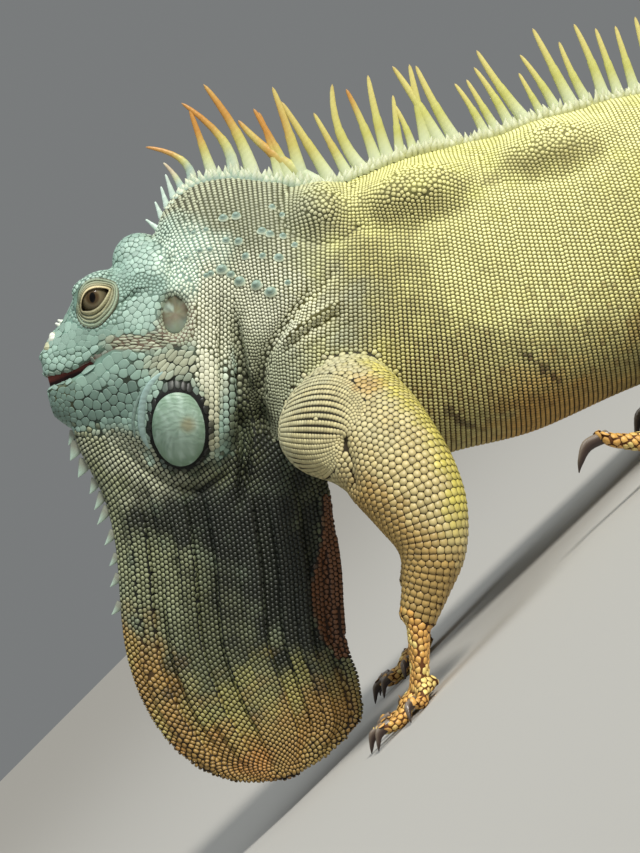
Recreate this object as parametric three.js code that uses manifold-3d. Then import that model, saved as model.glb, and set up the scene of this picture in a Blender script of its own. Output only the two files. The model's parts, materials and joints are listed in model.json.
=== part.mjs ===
// A life-size still model of an adult male green iguana, head and chest raised on its forelegs,
// belly and tail on the floor. Millimetres, +Z up, nose towards -X, left side towards -Y.
// The origin lies on the floor, under the flat of the belly between the thighs.
import * as THREE from "three";
import { mergeVertices } from "three/addons/utils/BufferGeometryUtils.js";
import Module from "manifold-3d";

const wasm = await Module();
wasm.setup();

// ---------------------------------------------------------------- driving dimensions
const GAP = 0.3; // joint between two neighbouring pieces
const MOUTH_CORNER = [-304.4, 238.8]; // X and Z of the corner of the mouth
const HEAD_PITCH = 24; // degrees that the mouth line climbs towards the nose
const TAIL_START = 112; // X where the tail leaves the trunk table
const TAIL_LENGTH = 830;
const TAIL_SWING = 52; // sideways reach of the tail's curve
const CREST_ROOT = 4.5; // depth of a crest spine's root under the back
const CREST_SIDES = 4;
const EYE = { s: 1.6, h: 28.6, y: 12.6, radius: 9.4 };
const EAR = { s: -35, h: 5.5, long: 11, wide: 7.4, tilt: 20, depth: 3.2, plate: 1.6 };
const SHIELD = { s: -16, h: -51.5, long: 20, wide: 14.4, tilt: 20, thick: 2.2 };

const COLOURS = {
  head: 0x8fb3a5,
  jaw: 0x8aa894,
  mouth: 0x9c3b3e,
  eye: 0x6b4a24,
  ear: 0xc9c4ae,
  shield: 0xa9cbb0,
  neck: 0xb9c7a2,
  dewlap: 0x6f7350,
  trunk: 0xc6c46a,
  tail: 0xb0a35c,
  limb: 0xcfa850,
  hand: 0xd29a45,
  claw: 0x8c8a80,
};

// ---------------------------------------------------------------- solids
function solid(geometry) {
  const bare = geometry.clone();
  bare.deleteAttribute("normal");
  bare.deleteAttribute("uv");
  const welded = mergeVertices(bare, 1e-4);
  return new wasm.Manifold(
    new wasm.Mesh({
      numProp: 3,
      vertProperties: welded.attributes.position.array,
      triVerts: new Uint32Array(welded.index.array),
    }),
  );
}

function largest(made) {
  const bodies = made.decompose();
  return bodies.reduce((best, next) => (next.volume() > best.volume() ? next : best));
}

function geometryOf(made) {
  const mesh = made.getMesh();
  const geometry = new THREE.BufferGeometry();
  geometry.setAttribute("position", new THREE.BufferAttribute(new Float32Array(mesh.vertProperties), 3));
  geometry.setIndex(new THREE.BufferAttribute(new Uint32Array(mesh.triVerts), 1));
  geometry.computeVertexNormals();
  return geometry;
}

const joined = (pieces) => pieces.reduce((sum, piece) => sum.add(piece));

function box(low, high) {
  const size = high.map((value, axis) => value - low[axis]);
  const shape = new THREE.BoxGeometry(...size);
  shape.translate(...low.map((value, axis) => value + size[axis] / 2));
  return solid(shape);
}

const UNDER_FLOOR = box([-600, -600, -60], [1400, 600, 0]);
const onFloor = (made) => made.subtract(UNDER_FLOOR);

// ---------------------------------------------------------------- lofts
// A row is one cross-section: its two ends a and b, its half width across them, the power of its
// curve (2 is an ellipse), and where between b and a it is widest.
const row = (a, b, wide, power = 2.2, waist = 0.5) => ({
  a: new THREE.Vector3(...a),
  b: new THREE.Vector3(...b),
  wide,
  power,
  waist,
});

const cubic = (p0, p1, p2, p3, t) =>
  p1 + 0.5 * t * (p2 - p0 + t * (2 * p0 - 5 * p1 + 4 * p2 - p3 + t * (3 * (p1 - p2) + p3 - p0)));

function sample(rows, at) {
  const last = rows.length - 1;
  const start = Math.min(Math.max(Math.floor(at), 0), last - 1);
  const near = [-1, 0, 1, 2].map((step) => rows[Math.min(Math.max(start + step, 0), last)]);
  const mix = (read) => cubic(...near.map(read), at - start);
  const point = (end) =>
    new THREE.Vector3(mix((r) => r[end].x), mix((r) => r[end].y), mix((r) => r[end].z));
  return { a: point("a"), b: point("b"), wide: mix((r) => r.wide), power: mix((r) => r.power),
    waist: mix((r) => r.waist) };
}

function middle(rows, at) {
  const cut = sample(rows, at);
  return cut.a.lerp(cut.b, 0.5);
}

const STEP = 0.05;
function frameAt(rows, at) {
  const cut = sample(rows, at);
  const along = middle(rows, at + STEP).sub(middle(rows, at - STEP)).normalize();
  const length = cut.a.distanceTo(cut.b);
  const up = cut.a.clone().sub(cut.b).divideScalar(length);
  const side = new THREE.Vector3().crossVectors(along, up).normalize();
  return { ...cut, along, up, side, length };
}

const bulge = (value, power) => Math.sign(value) * Math.abs(value) ** (2 / power);

// A point of a section's edge: turn 0 is at a, a quarter turn on the side, half a turn at b.
function edgePoint(cut, turn, { grow = 0, scale = 1, push = 0 } = {}) {
  const high = bulge(Math.cos(turn), cut.power);
  const across = bulge(Math.sin(turn), cut.power);
  const reach = (high >= 0 ? 1 - cut.waist : cut.waist) * cut.length + grow;
  return cut.b.clone()
    .addScaledVector(cut.up, cut.waist * cut.length)
    .addScaledVector(cut.up, high * reach * scale)
    .addScaledVector(cut.side, across * (cut.wide + grow) * scale)
    .addScaledVector(cut.along, push);
}

// A closed loft through rows from..to; tip and heel are the depths of rounded ends.
function loftGeometry(rows, o = {}) {
  const { from = 0, to = rows.length - 1, steps = 10, sides = 12, grow = 0, tip = 0, heel = 0 } = o;
  const dome = [0.45, 0.85].map((share) => share * Math.PI * 0.5);
  const rings = [];
  const end = (at, depth, sign) => dome.map((turn) => ({
    at, scale: Math.cos(turn), push: sign * (grow + depth * Math.sin(turn)) }));
  if (heel) rings.push(...end(from, heel, -1).reverse());
  for (let i = 0; i <= steps; i++) {
    const edge = i === 0 && !heel ? -grow : i === steps && !tip ? grow : 0;
    rings.push({ at: from + ((to - from) * i) / steps, scale: 1, push: edge });
  }
  if (tip) rings.push(...end(to, tip, 1));
  const count = rings.length - 1;
  const grid = new THREE.CylinderGeometry(1, 1, 1, sides, count, false);
  const places = grid.attributes.position;
  const frames = rings.map((ring) => frameAt(rows, ring.at));
  for (let i = 0; i < places.count; i++) {
    const [x, y, z] = [places.getX(i), places.getY(i), places.getZ(i)];
    const ring = Math.round((y + 0.5) * count);
    const turn = ((Math.round((Math.atan2(x, z) / Math.PI / 2) * sides) + sides) % sides) / sides;
    const centred = Math.hypot(x, z) < 0.5;
    const place = edgePoint(frames[ring], turn * Math.PI * 2, {
      grow, push: rings[ring].push, scale: centred ? 0 : rings[ring].scale });
    places.setXYZ(i, place.x, place.y, place.z);
  }
  return grid;
}

const loft = (rows, options) => solid(loftGeometry(rows, options));

// Rows of a round limb or finger: points are [x, y, z, half depth along lean, half width].
// A square tube keeps its sections upright along lean, so that two of them meet face to face.
function tube(points, lean, square = false) {
  const centres = points.map(([x, y, z]) => new THREE.Vector3(x, y, z));
  return points.map(([, , , deep, wide = deep], i) => {
    const before = centres[Math.max(i - 1, 0)];
    const after = centres[Math.min(i + 1, points.length - 1)];
    const along = after.clone().sub(before).normalize();
    const up = new THREE.Vector3(...lean);
    if (!square) up.addScaledVector(along, -up.dot(along)).normalize();
    const [a, b] = [deep, -deep].map((reach) => centres[i].clone().addScaledVector(up, reach));
    return row(a.toArray(), b.toArray(), wide, 2.1);
  });
}

function ellipsoid(centre, radii, turns = [0, 0, 0], across = 9, around = 6) {
  const ball = new THREE.SphereGeometry(1, across, around);
  ball.scale(...radii);
  ball.applyMatrix4(new THREE.Matrix4().makeRotationFromEuler(new THREE.Euler(...turns)));
  ball.translate(...centre);
  return solid(ball);
}

// A spine: a leaning, kinked cone from its root under the skin to its tip.
function spine(foot, lean, length, radius, kink, root = CREST_ROOT, sides = CREST_SIDES) {
  const knee = foot.clone().addScaledVector(lean, length * 0.5).add(kink);
  const tip = foot.clone().addScaledVector(lean, length);
  const deep = foot.clone().addScaledVector(lean, -root);
  const rows = [deep, knee, tip].map((place, i) => [...place.toArray(), [radius, radius * 0.6, 0.35][i],
    [radius * 0.8, radius * 0.5, 0.3][i]]);
  return loft(tube(rows, [1, 0, 0.2]), { steps: 2, sides });
}

// ---------------------------------------------------------------- places on the head
const pitch = THREE.MathUtils.degToRad(HEAD_PITCH);
// s runs forward from the corner of the mouth, h up from the mouth line.
const onHead = (s, h, y = 0) => [
  MOUTH_CORNER[0] - s * Math.cos(pitch) + h * Math.sin(pitch),
  y,
  MOUTH_CORNER[1] + s * Math.sin(pitch) + h * Math.cos(pitch),
];
const headSide = (side) => (s, h, y) => onHead(s, h, side * y);

// The open mouth: s, h of the upper lip and h of the lower lip, from in front of the nose inwards.
const MOUTH = [[60, 0.4, -6.2], [40, -0.2, -6.3], [27, -2.6, -6.2], [16, -1.5, -4.1], [9, -0.4, -2.4]];

// Outline of the skull and jowls: s and h of the crown, s and h of the throat, half width, power, waist.
const SKULL = [
  [41.5, 6, 45.5, -21, 6.5, 2.0, 0.5],
  [38.5, 13.5, 42, -27, 10.5, 2.1, 0.5],
  [31, 20.6, 34.5, -35, 14, 2.2, 0.48],
  [22, 26, 24, -45, 17.5, 2.3, 0.46],
  [12, 35, 13, -56, 21.5, 2.4, 0.4],
  [4, 41.5, 4, -65, 25.5, 2.4, 0.36],
  [-5, 42.8, -6, -73, 29.5, 2.35, 0.33],
  [-14, 41.5, -18, -77, 32.5, 2.3, 0.31],
  [-22, 46.5, -29, -77, 34, 2.25, 0.3],
  [-30, 49.6, -41, -73, 33.5, 2.2, 0.31],
  [-38, 49.5, -52, -65, 31, 2.2, 0.33],
].map(([sa, ha, sb, hb, wide, power, waist]) =>
  row(onHead(sa, ha), onHead(sb, hb), wide, power, waist));

// ---------------------------------------------------------------- trunk, neck and tail rows
// Back line X and Z, belly line X and Z, half width, power, waist.
const TRUNK = [
  [-248.7, 268.4, -282.4, 158.6, 29.5, 2.1, 0.42],
  [-233, 275, -281, 152, 27, 2.1, 0.5],
  [-216, 275.2, -281, 147, 28, 2.1, 0.5],
  [-199, 265, -282, 140, 31, 2.1, 0.48],
  [-184, 247, -282, 131, 36, 2.1, 0.46],
  [-165, 224, -276, 113, 41, 2.1, 0.44],
  [-141, 212.5, -252, 92, 45, 2.1, 0.42],
  [-117, 201, -217, 74, 48, 2.15, 0.42],
  [-90, 183, -180, 52, 51, 2.2, 0.42],
  [-57, 166.5, -133, 34, 52, 2.2, 0.42],
  [-25, 148, -90, 16, 50, 2.2, 0.42],
  [5, 127, -45, 1.5, 46, 2.2, 0.42],
  [34, 106, 2, -2.2, 39, 2.2, 0.44],
  [64, 86, 44, -2, 30, 2.1, 0.46],
  [90, 73, 80, -1.2, 25, 2.1, 0.48],
].map(([ax, az, bx, bz, wide, power, waist]) => row([ax, 0, az], [bx, 0, bz], wide, power, waist));
const TRUNK_LAST = TRUNK.length - 1;
const TAIL_ROWS = 13;

// The tail lies on the floor in a slow S and tapers to its tip.
function tailRow(index) {
  const share = index / TAIL_ROWS;
  const reach = share * TAIL_LENGTH;
  const swing = TAIL_SWING * Math.sin(share * Math.PI * 1.7) * Math.min(1, share * 3);
  const high = 64 * (1 - share) ** 1.25 + 4.5;
  const wide = 22 * (1 - share) ** 1.1 + 1.8;
  const x = TAIL_START + reach * (1 - 0.06 * share);
  return row([x, swing, high - 1], [x, swing, -1], wide, 2.1, 0.45);
}
const CHAIN = [...TRUNK];
for (let index = 0; index <= TAIL_ROWS; index++) CHAIN.push(tailRow(index));
const TAIL_LAST = CHAIN.length - 1;

// Where the chain is cut, in rows, with the loft steps and sides of each length.
const LENGTHS = [
  ["neck", 0, 4, 8, 16, "neck"],
  ["torso_front", 4, 8, 7, 18, "trunk"],
  ["torso_rear", 8, TRUNK_LAST - 0.5, 8, 18, "trunk"],
  ["tail_1", TRUNK_LAST - 0.5, TRUNK_LAST + 2.5, 5, 12, "tail"],
  ["tail_2", TRUNK_LAST + 2.5, TRUNK_LAST + 4.5, 4, 12, "tail"],
  ["tail_3", TRUNK_LAST + 4.5, TRUNK_LAST + 6.5, 4, 10, "tail"],
  ["tail_4", TRUNK_LAST + 6.5, TRUNK_LAST + 8.5, 4, 8, "tail"],
  ["tail_5", TRUNK_LAST + 8.5, TRUNK_LAST + 11, 4, 8, "tail"],
  ["tail_6", TRUNK_LAST + 11, TAIL_LAST, 4, 6, "tail"],
];
const LAST_LENGTH = "tail_6";
const CUT = 0.011; // rows left open on each side of a cut, at least half of the gap

// ---------------------------------------------------------------- crest
// Spines stand in one file along the back: row of the chain, length, lean in degrees from upright
// on the back (positive towards the head), and how far the middle stands behind a straight line.
const CREST = [
  [0.3, 8, -20, 0], [0.65, 9, -45, 0], [1.0, 11, -40, 0], [1.35, 13, -32, 0], [1.72, 17, -5, 1],
  [2.1, 31, 28, 7], [2.7, 38, 10, 0], [3.2, 47, 38, 8], [3.68, 56, 36, 4],
  [4.22, 38, 26, 1], [4.42, 44, 36, 1], [4.62, 54, 24, 1], [4.9, 55, 50, -4], [5.15, 51, 19, 0],
  [5.5, 39, 6, 0], [5.82, 49, -3, -5], [6.12, 44, 2, 1], [6.38, 47, -7, -1], [6.62, 33, -13, 0],
  [6.9, 28, 6, 1], [7.15, 46, 0, 0], [7.4, 50, 22, 1], [7.66, 47, 18, -1],
  [8.12, 33, 14, 1], [8.3, 33, 12, 0], [8.5, 38, 12, 1], [8.74, 47, 16, -1], [8.98, 27, 12, 0],
  [9.2, 37, 17, 1], [9.44, 48, 12, 0], [9.66, 37, 11, -1], [9.9, 44, 9, 1], [10.12, 39, 8, 0],
  [10.36, 38, 7, 0], [10.64, 41, 6, 0], [10.92, 36, 5, 0],
];
const CREST_AFTER = { from: 11.2, to: TAIL_LAST - 4, first: 37, last: 4, count: 42, lean: 2, tailLean: -26 };

function seeded(seed) {
  let state = seed;
  return () => {
    state = (state * 1664525 + 1013904223) % 4294967296;
    return state / 4294967296;
  };
}

function crestRows() {
  const random = seeded(11);
  const rows = CREST.map((spineRow) => [...spineRow]);
  const { from, to, first, last, count, lean, tailLean } = CREST_AFTER;
  for (let i = 0; i < count; i++) {
    const share = i / (count - 1);
    const length = (first + (last - first) * share ** 0.6) * (0.85 + 0.3 * random());
    const turn = lean + (tailLean - lean) * share ** 0.5 + 8 * (random() - 0.5);
    rows.push([from + (to - from) * share, length, turn, -length * 0.04 * share]);
  }
  return rows;
}

function crestSpines(from, to) {
  const clear = 0.07;
  const within = crestRows().filter(([at]) => at > from + clear && at < to - clear);
  return within.map(([at, length, lean, kink]) => {
    const { a: back, side } = frameAt(CHAIN, at);
    const run = sample(CHAIN, at + STEP).a.sub(sample(CHAIN, at - STEP).a).normalize();
    const out = new THREE.Vector3().crossVectors(run, side).normalize();
    if (out.z < 0) out.negate();
    const turn = THREE.MathUtils.degToRad(lean);
    const way = out.clone().multiplyScalar(Math.cos(turn)).addScaledVector(run, -Math.sin(turn));
    const bend = run.clone().multiplyScalar(kink);
    const radius = 1.2 + length * 0.05;
    return spine(back, way, length, radius, bend, Math.min(CREST_ROOT, length * 0.4 + 2));
  });
}

// ---------------------------------------------------------------- points on a side
const caster = new THREE.Raycaster();
function onSide(skin, side, x, z) {
  caster.set(new THREE.Vector3(x, side * 200, z), new THREE.Vector3(0, -side, 0));
  const [hit] = caster.intersectObject(skin);
  return hit ? { point: hit.point, normal: hit.face.normal.clone() } : null;
}

// ---------------------------------------------------------------- limbs
// [x, y, z, half depth, half width], from inside the trunk outwards, for the left side.
const ARM = [
  [-247, -24, 137, 33, 21], [-247, -52, 130, 35, 25], [-243.5, -78, 109, 30, 23],
  [-247, -91, 85, 27, 20], [-253, -97, 66, 23, 17.5], [-263, -99, 50, 17, 15],
  [-278, -98, 40, 12.5, 12.5], [-292, -97, 32, 9.5, 11],
];
const ARM_LEAN = [1, 0, 0];
const ELBOW = 4.4;
const PALM = [
  [-292, -97, 32, 9.5, 11], [-301, -97, 22, 8, 12], [-311, -97.5, 11.5, 6.5, 13.5], [-318, -98, 6.5, 5, 12.5],
];
const LEG = [
  [4, -18, 58, 26, 22], [-14, -48, 62, 25, 22], [-36, -74, 68, 21, 19], [-55, -91, 70, 17, 16],
  [-57, -99, 56, 15, 14], [-49, -102, 38, 13, 12.5], [-40, -102, 24, 9.5, 10], [-33, -101, 14.5, 8.5, 10],
];
const LEG_LEAN = [-0.69, -0.29, 0.66];
const KNEE = 3.2;
const SOLE = [
  [-30, -100.5, 9.5, 8.5, 9.5], [-44, -101, 8, 7.5, 11.5], [-64, -102, 7, 6.5, 13.5],
  [-79, -102.5, 6, 5.5, 13],
];

// Toes: start on the palm (forward of its last section, sideways), length, heading in degrees
// towards the midline, thickness, height of the tip, claw length.
const FINGERS = [
  [-4, 10, 14, 42, 3.8, 6, 10], [0, 5.5, 21, 18, 4, 6, 11], [1, 0, 25, 1, 4, 6, 11],
  [0, -5.5, 23, -17, 4, 6, 11], [-6, -10.5, 15, -48, 3.8, 6, 10],
];
const TOES = [
  [-14, 9.5, 15, 34, 4, 6, 11], [-3, 6, 28, 17, 4.4, 7, 13], [1, 1.5, 45, 6, 4.7, 9, 16],
  [0, -4.5, 78, -2, 5, 8, 21], [-22, -9.5, 38, -38, 4.3, 7, 13],
];
// The left foot's longest toe lifts its end: height and half depth of its five sections.
const RAISED_TOE = { index: 3, length: 84, sections: [[5.4, 5], [7.2, 5], [5, 5.4], [16, 6.6], [30, 6]] };

const FAR_SHIFT = { arm: 8, leg: 40 }; // how far back the right limbs stand from the left ones

const LIMB_ENDS = {
  hand: { points: PALM, digits: FINGERS, rise: 3.2 },
  foot: { points: SOLE, digits: TOES, rise: 3 },
};
const FLOOR_BITE = 0.8; // how far a sole or toe is flattened by the floor

function digit(end, [ahead, aside, flatLength, heading, thick, flatLift, clawLength], rise, raised) {
  const turn = THREE.MathUtils.degToRad(heading);
  const start = new THREE.Vector3(end[0] - ahead, end[1] + aside, 0);
  const reach = (forward, z, deep, wide = deep) => {
    const x = start.x - Math.cos(turn) * forward;
    return [x, start.y + Math.sin(turn) * forward, z, deep, wide];
  };
  const low = thick - FLOOR_BITE;
  const length = raised ? raised.length : flatLength;
  const sections = raised ? raised.sections : [[5.4, thick], [low + rise, thick], [low, thick],
    [Math.max(low, flatLift * 0.7), thick * 0.95], [flatLift, thick * 0.85]];
  const forward = [-6, length * 0.25, length * 0.55, length * 0.85, length];
  const body = sections.map(([z, deep], i) => reach(forward[i], z, deep, Math.min(deep, thick)));
  const lift = sections[sections.length - 1][0];
  // How far the claw arches above its ends and how far its tip hangs, as shares of its length.
  const [arch, droop] = raised ? [0.2, 0.1] : [0.06, 0.55];
  const clawAt = (share, z, deep, wide) => reach(length + clawLength * share, z, deep, wide);
  const claw = [reach(length + GAP, lift, thick * 0.72, thick * 0.5),
    clawAt(0.4, lift + clawLength * arch, thick * 0.62, thick * 0.42),
    clawAt(0.8, Math.max(3, lift + clawLength * (arch - droop) * 0.5), thick * 0.36, thick * 0.25),
    clawAt(1, Math.max(1, lift - clawLength * droop), 0.4, 0.35)];
  return { body, claw };
}

const shifted = (points, dx, side) => points.map(([x, y, z, ...rest]) => [x + dx, -side * y, z, ...rest]);
const shiftedLean = (lean, side) => [lean[0], -side * lean[1], lean[2]];

// ---------------------------------------------------------------- assembly
const iguana = new THREE.Group();
function place(name, made, colour) {
  const material = new THREE.MeshStandardMaterial({ color: COLOURS[colour], roughness: 0.6, metalness: 0 });
  const mesh = new THREE.Mesh(geometryOf(largest(made)), material);
  mesh.name = name;
  iguana.add(mesh);
}

const SIDES = [["left", -1], ["right", 1]];
const skull = (options) => loft(SKULL, { from: 0, to: SKULL.length - 1, steps: 12, sides: 16, ...options });

// A flat shape across the head, given as s and h points, as thick as the head is wide.
function acrossHead(points, half = 60) {
  const outline = new THREE.Shape(points.map(([s, h]) => {
    const [x, , z] = onHead(s, h);
    return new THREE.Vector2(x, z);
  }));
  const prism = new THREE.ExtrudeGeometry(outline, { depth: half * 2, bevelEnabled: false });
  prism.rotateX(Math.PI / 2);
  prism.translate(0, half, 0);
  return solid(prism);
}

// An oval rod across one side of the head, from the midline outwards.
function ovalAcross(spot, side, shrink = 0) {
  const rod = new THREE.CylinderGeometry(1, 1, 60, 16, 1);
  rod.scale(spot.wide - shrink, 1, spot.long - shrink);
  rod.rotateY(pitch + THREE.MathUtils.degToRad(spot.tilt));
  rod.translate(...onHead(spot.s, spot.h, side * 34));
  return solid(rod);
}

function buildHead() {
  const socket = (side, extra) =>
    ellipsoid(onHead(EYE.s, EYE.h, side * EYE.y), Array(3).fill(EYE.radius + extra), [0, 0, 0], 14, 8);
  const lumps = [ellipsoid(onHead(-27, 38.5), [15.5, 17, 11.6], [0, pitch, 0])]; // knobbly crown
  for (const [, side] of SIDES) {
    const at = headSide(side);
    lumps.push(
      ellipsoid(at(1, 37.5, 12), [12, 5, 4.6], [0, pitch - 0.15, 0]), // brow ridge
      ellipsoid(at(37.8, 9.8, 5.2), [4, 3.2, 4], [0, 0, 0], 8, 6), // nostril rim
    );
  }
  let whole = joined([skull(), ...lumps]).subtract(roomOf(LENGTHS[0]));
  for (const [, side] of SIDES) {
    const at = headSide(side);
    const rim = new THREE.TorusGeometry(7.4, 2.1, 5, 14);
    rim.scale(1.12, 0.86, 1);
    rim.rotateX(Math.PI / 2);
    rim.rotateZ(side * -0.2);
    rim.rotateY(pitch + 0.3);
    rim.translate(...at(EYE.s, EYE.h, 18.6));
    whole = whole.add(solid(rim)); // lids
  }
  for (const [, side] of SIDES) {
    const at = headSide(side);
    whole = whole.subtract(socket(side, GAP));
    whole = whole.subtract(ellipsoid(at(38.5, 9.8, 8.6), [1.7, 1.6, 1.2], [0, 0, 0], 6, 4)); // nostril
    const recess = ovalAcross(EAR, side).subtract(skull({ grow: -EAR.depth }));
    whole = whole.subtract(recess);
  }
  const edges = (inset, stations) => [
    ...stations.map(([s, high]) => [s, high - inset]),
    ...stations.map(([s, , low]) => [s, low + inset]).reverse(),
  ];
  const seam = [[0, GAP / 2, -GAP / 2], [-70, -13 + GAP / 2, -13 - GAP / 2]]; // from the corner to the neck
  const mouth = acrossHead(edges(0, [...MOUTH, ...seam]));
  const parts = whole.subtract(mouth).decompose().sort((p, q) => q.volume() - p.volume());
  const height = (part) => (part.boundingBox().max[2]);
  const [upper, lower] = parts.slice(0, 2).sort((p, q) => height(q) - height(p));
  const lining = acrossHead(edges(GAP, MOUTH)).intersect(skull({ grow: -3 }));
  place("head", upper, "head");
  place("lower_jaw", lower, "jaw");
  place("mouth_lining", lining, "mouth");
  for (const [sideName, side] of SIDES) {
    place("eye_" + sideName, socket(side, 0).intersect(eyeRoom(side)), "eye");
    const drum = ovalAcross(EAR, side, GAP).intersect(skull({ grow: -EAR.depth + EAR.plate + GAP }))
      .subtract(skull({ grow: -EAR.depth + GAP }));
    place("tympanum_" + sideName, drum, "ear");
    const shield = ovalAcross(SHIELD, side).intersect(skull({ grow: SHIELD.thick + GAP }));
    place("shield_" + sideName, shield.subtract(skull({ grow: GAP })), "shield");
  }
}

// The half of space on one side of the midline, clear of it.
const eyeRoom = (side) =>
  side < 0 ? box([-420, -80, 150], [-200, -GAP, 330]) : box([-420, GAP, 150], [-200, 80, 330]);

// Conical tubercles on the sides of the neck: X and Z, radius.
const TUBERCLES = [
  [-236, 229, 4.2], [-234.7, 220, 4], [-228.4, 209, 3.6], [-218.3, 232.4, 3.8], [-224.2, 240, 3.2],
  [-217.4, 248.3, 3.4], [-206.7, 230, 3.6], [-222.8, 222, 3], [-236.8, 245, 2.8], [-213.3, 211.4, 3],
];

function tubercles(core) {
  const skin = new THREE.Mesh(core, new THREE.MeshBasicMaterial({ side: THREE.DoubleSide }));
  const made = [];
  for (const [, side] of SIDES)
    for (const [x, z, radius] of TUBERCLES) {
      const around = [-radius, 0, radius].map((step) => onSide(skin, side, x + step, z));
      if (around.some((spot) => !spot)) continue;
      const way = new THREE.Vector3(-0.1, side, 0.25).normalize();
      made.push(spine(around[1].point, way, radius * 1.1, radius, new THREE.Vector3(), radius, 5));
    }
  return made;
}

function coreGeometry([name, from, to, steps, sides], grow = 0) {
  const start = name === "neck" ? from : from + CUT;
  const end = name === LAST_LENGTH ? to : to - CUT;
  return loftGeometry(CHAIN, { from: start, to: end, steps, sides, grow, tip: name === LAST_LENGTH ? 2 : 0 });
}

// Neck and trunk with the gap's thickness all over, to cut what meets them.
const roomOf = (length) => solid(coreGeometry(length, GAP));
const trunkRoom = () => joined(LENGTHS.slice(0, 3).map(roomOf));

function buildChain() {
  for (const length of LENGTHS) {
    const [name, from, to, , , colour] = length;
    const core = coreGeometry(length);
    const bumps = name === "neck" || name === "torso_front" ? tubercles(core) : [];
    const made = joined([solid(core), ...crestSpines(from, to), ...bumps]);
    place(name, onFloor(made), colour);
  }
}

// The dewlap: front edge X and Z, rear edge X and Z, half thickness.
const DEWLAP = [
  [-352, 228, -262, 150, 17],
  [-359, 212, -270, 124, 17],
  [-366, 190, -279, 105, 14],
  [-377, 171, -292, 88, 10.5],
  [-389, 156, -304, 72, 8],
  [-404, 139, -318, 56, 6],
  [-417, 122, -330, 41, 5],
  [-426.5, 104, -336, 28, 4.2],
  [-433, 84, -343, 17, 3.6],
  [-434.5, 64, -351, 8.5, 3.2],
  [-431, 45, -366, 6.6, 2.8],
  [-421, 29, -382, 8, 2.4],
  [-408, 17, -394, 11, 1.6],
].map(([fx, fz, rx, rz, wide]) => row([fx, 0, fz], [rx, 0, rz], wide, 2.4, 0.5));

// Leaf-shaped spines down the front edge of the throat: row of the dewlap, length.
const GULAR = [
  [0.25, 8], [0.6, 9.5], [1.25, 8], [1.65, 7.5], [1.95, 9],
  [2.3, 10], [2.9, 8], [3.55, 6.5], [4.1, 7], [4.75, 7],
];

function buildDewlap() {
  const spines = GULAR.map(([at, length]) => {
    const cut = frameAt(DEWLAP, at);
    const way = cut.up.clone().multiplyScalar(0.6).addScaledVector(cut.along, 0.7).normalize();
    return spine(cut.a.clone(), way, length, 2.6, new THREE.Vector3(), 3.5);
  });
  const blade = joined([loft(DEWLAP, { steps: 14, sides: 12 }), ...spines]);
  const shieldRoom = ([, side]) =>
    ovalAcross(SHIELD, side, -GAP).intersect(skull({ grow: SHIELD.thick + 2 * GAP }));
  const room = joined([skull({ grow: GAP }), trunkRoom(), ...SIDES.map(shieldRoom)]);
  place("dewlap", blade.subtract(room), "dewlap");
}

function buildLimbs() {
  const body = trunkRoom();
  for (const [sideName, side] of SIDES) {
    const far = side > 0;
    const armRows = tube(shifted(ARM, far ? FAR_SHIFT.arm : 0, side), shiftedLean(ARM_LEAN, side));
    const legRows = tube(shifted(LEG, far ? FAR_SHIFT.leg : 0, side), shiftedLean(LEG_LEAN, side));
    for (const [upper, lower, rows, bend] of [
      ["upper_arm_", "forearm_", armRows, ELBOW],
      ["thigh_", "shank_", legRows, KNEE],
    ]) {
      const near = (grow) => loft(rows, { from: 0, to: bend - 0.01, steps: 6, sides: 12, grow });
      place(upper + sideName, near(0).subtract(body), "limb");
      const outer = loft(rows, { from: bend + 0.01, to: rows.length - 1, steps: 5, sides: 12 });
      place(lower + sideName, outer.subtract(near(GAP)), "limb");
    }
    for (const [kind, { points, digits, rise }] of Object.entries(LIMB_ENDS)) {
      const dx = far ? FAR_SHIFT[kind === "hand" ? "arm" : "leg"] : 0;
      const lean = [0, 0, 1];
      const palm = shifted(points, dx, side);
      const pieces = [loft(tube(palm, lean, true), { steps: 4, sides: 10, tip: 3 })];
      digits.forEach((spec, index) => {
        const raised = kind === "foot" && !far && index === RAISED_TOE.index ? RAISED_TOE : null;
        const { body: toe, claw } = digit(points[points.length - 1], spec, rise, raised);
        pieces.push(loft(tube(shifted(toe, dx, side), lean, true), { steps: 4, sides: 6 }));
        const name = [kind, "claw", index + 1, sideName].join("_");
        place(name, loft(tube(shifted(claw, dx, side), lean, true), { steps: 3, sides: 5 }), "claw");
      });
      const limbEnd = kind === "hand" ? armRows : legRows;
      const last = limbEnd.length - 1;
      const shaft = loft(limbEnd, { from: last - 1.5, to: last, steps: 3, sides: 12, grow: GAP });
      place(kind + "_" + sideName, onFloor(joined(pieces).subtract(shaft)), "hand");
    }
  }
}

buildHead();
buildChain();
buildDewlap();
buildLimbs();

export default iguana;
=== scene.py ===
# The looks of a life-size model of an adult male green iguana. Metres, +Z up, nose towards -X,
# left side towards -Y. Tables are in millimetres.
import json
import math

import bpy
import numpy as np
from mathutils import Matrix, Vector
from mathutils.bvhtree import BVHTree
from mathutils.kdtree import KDTree

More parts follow.
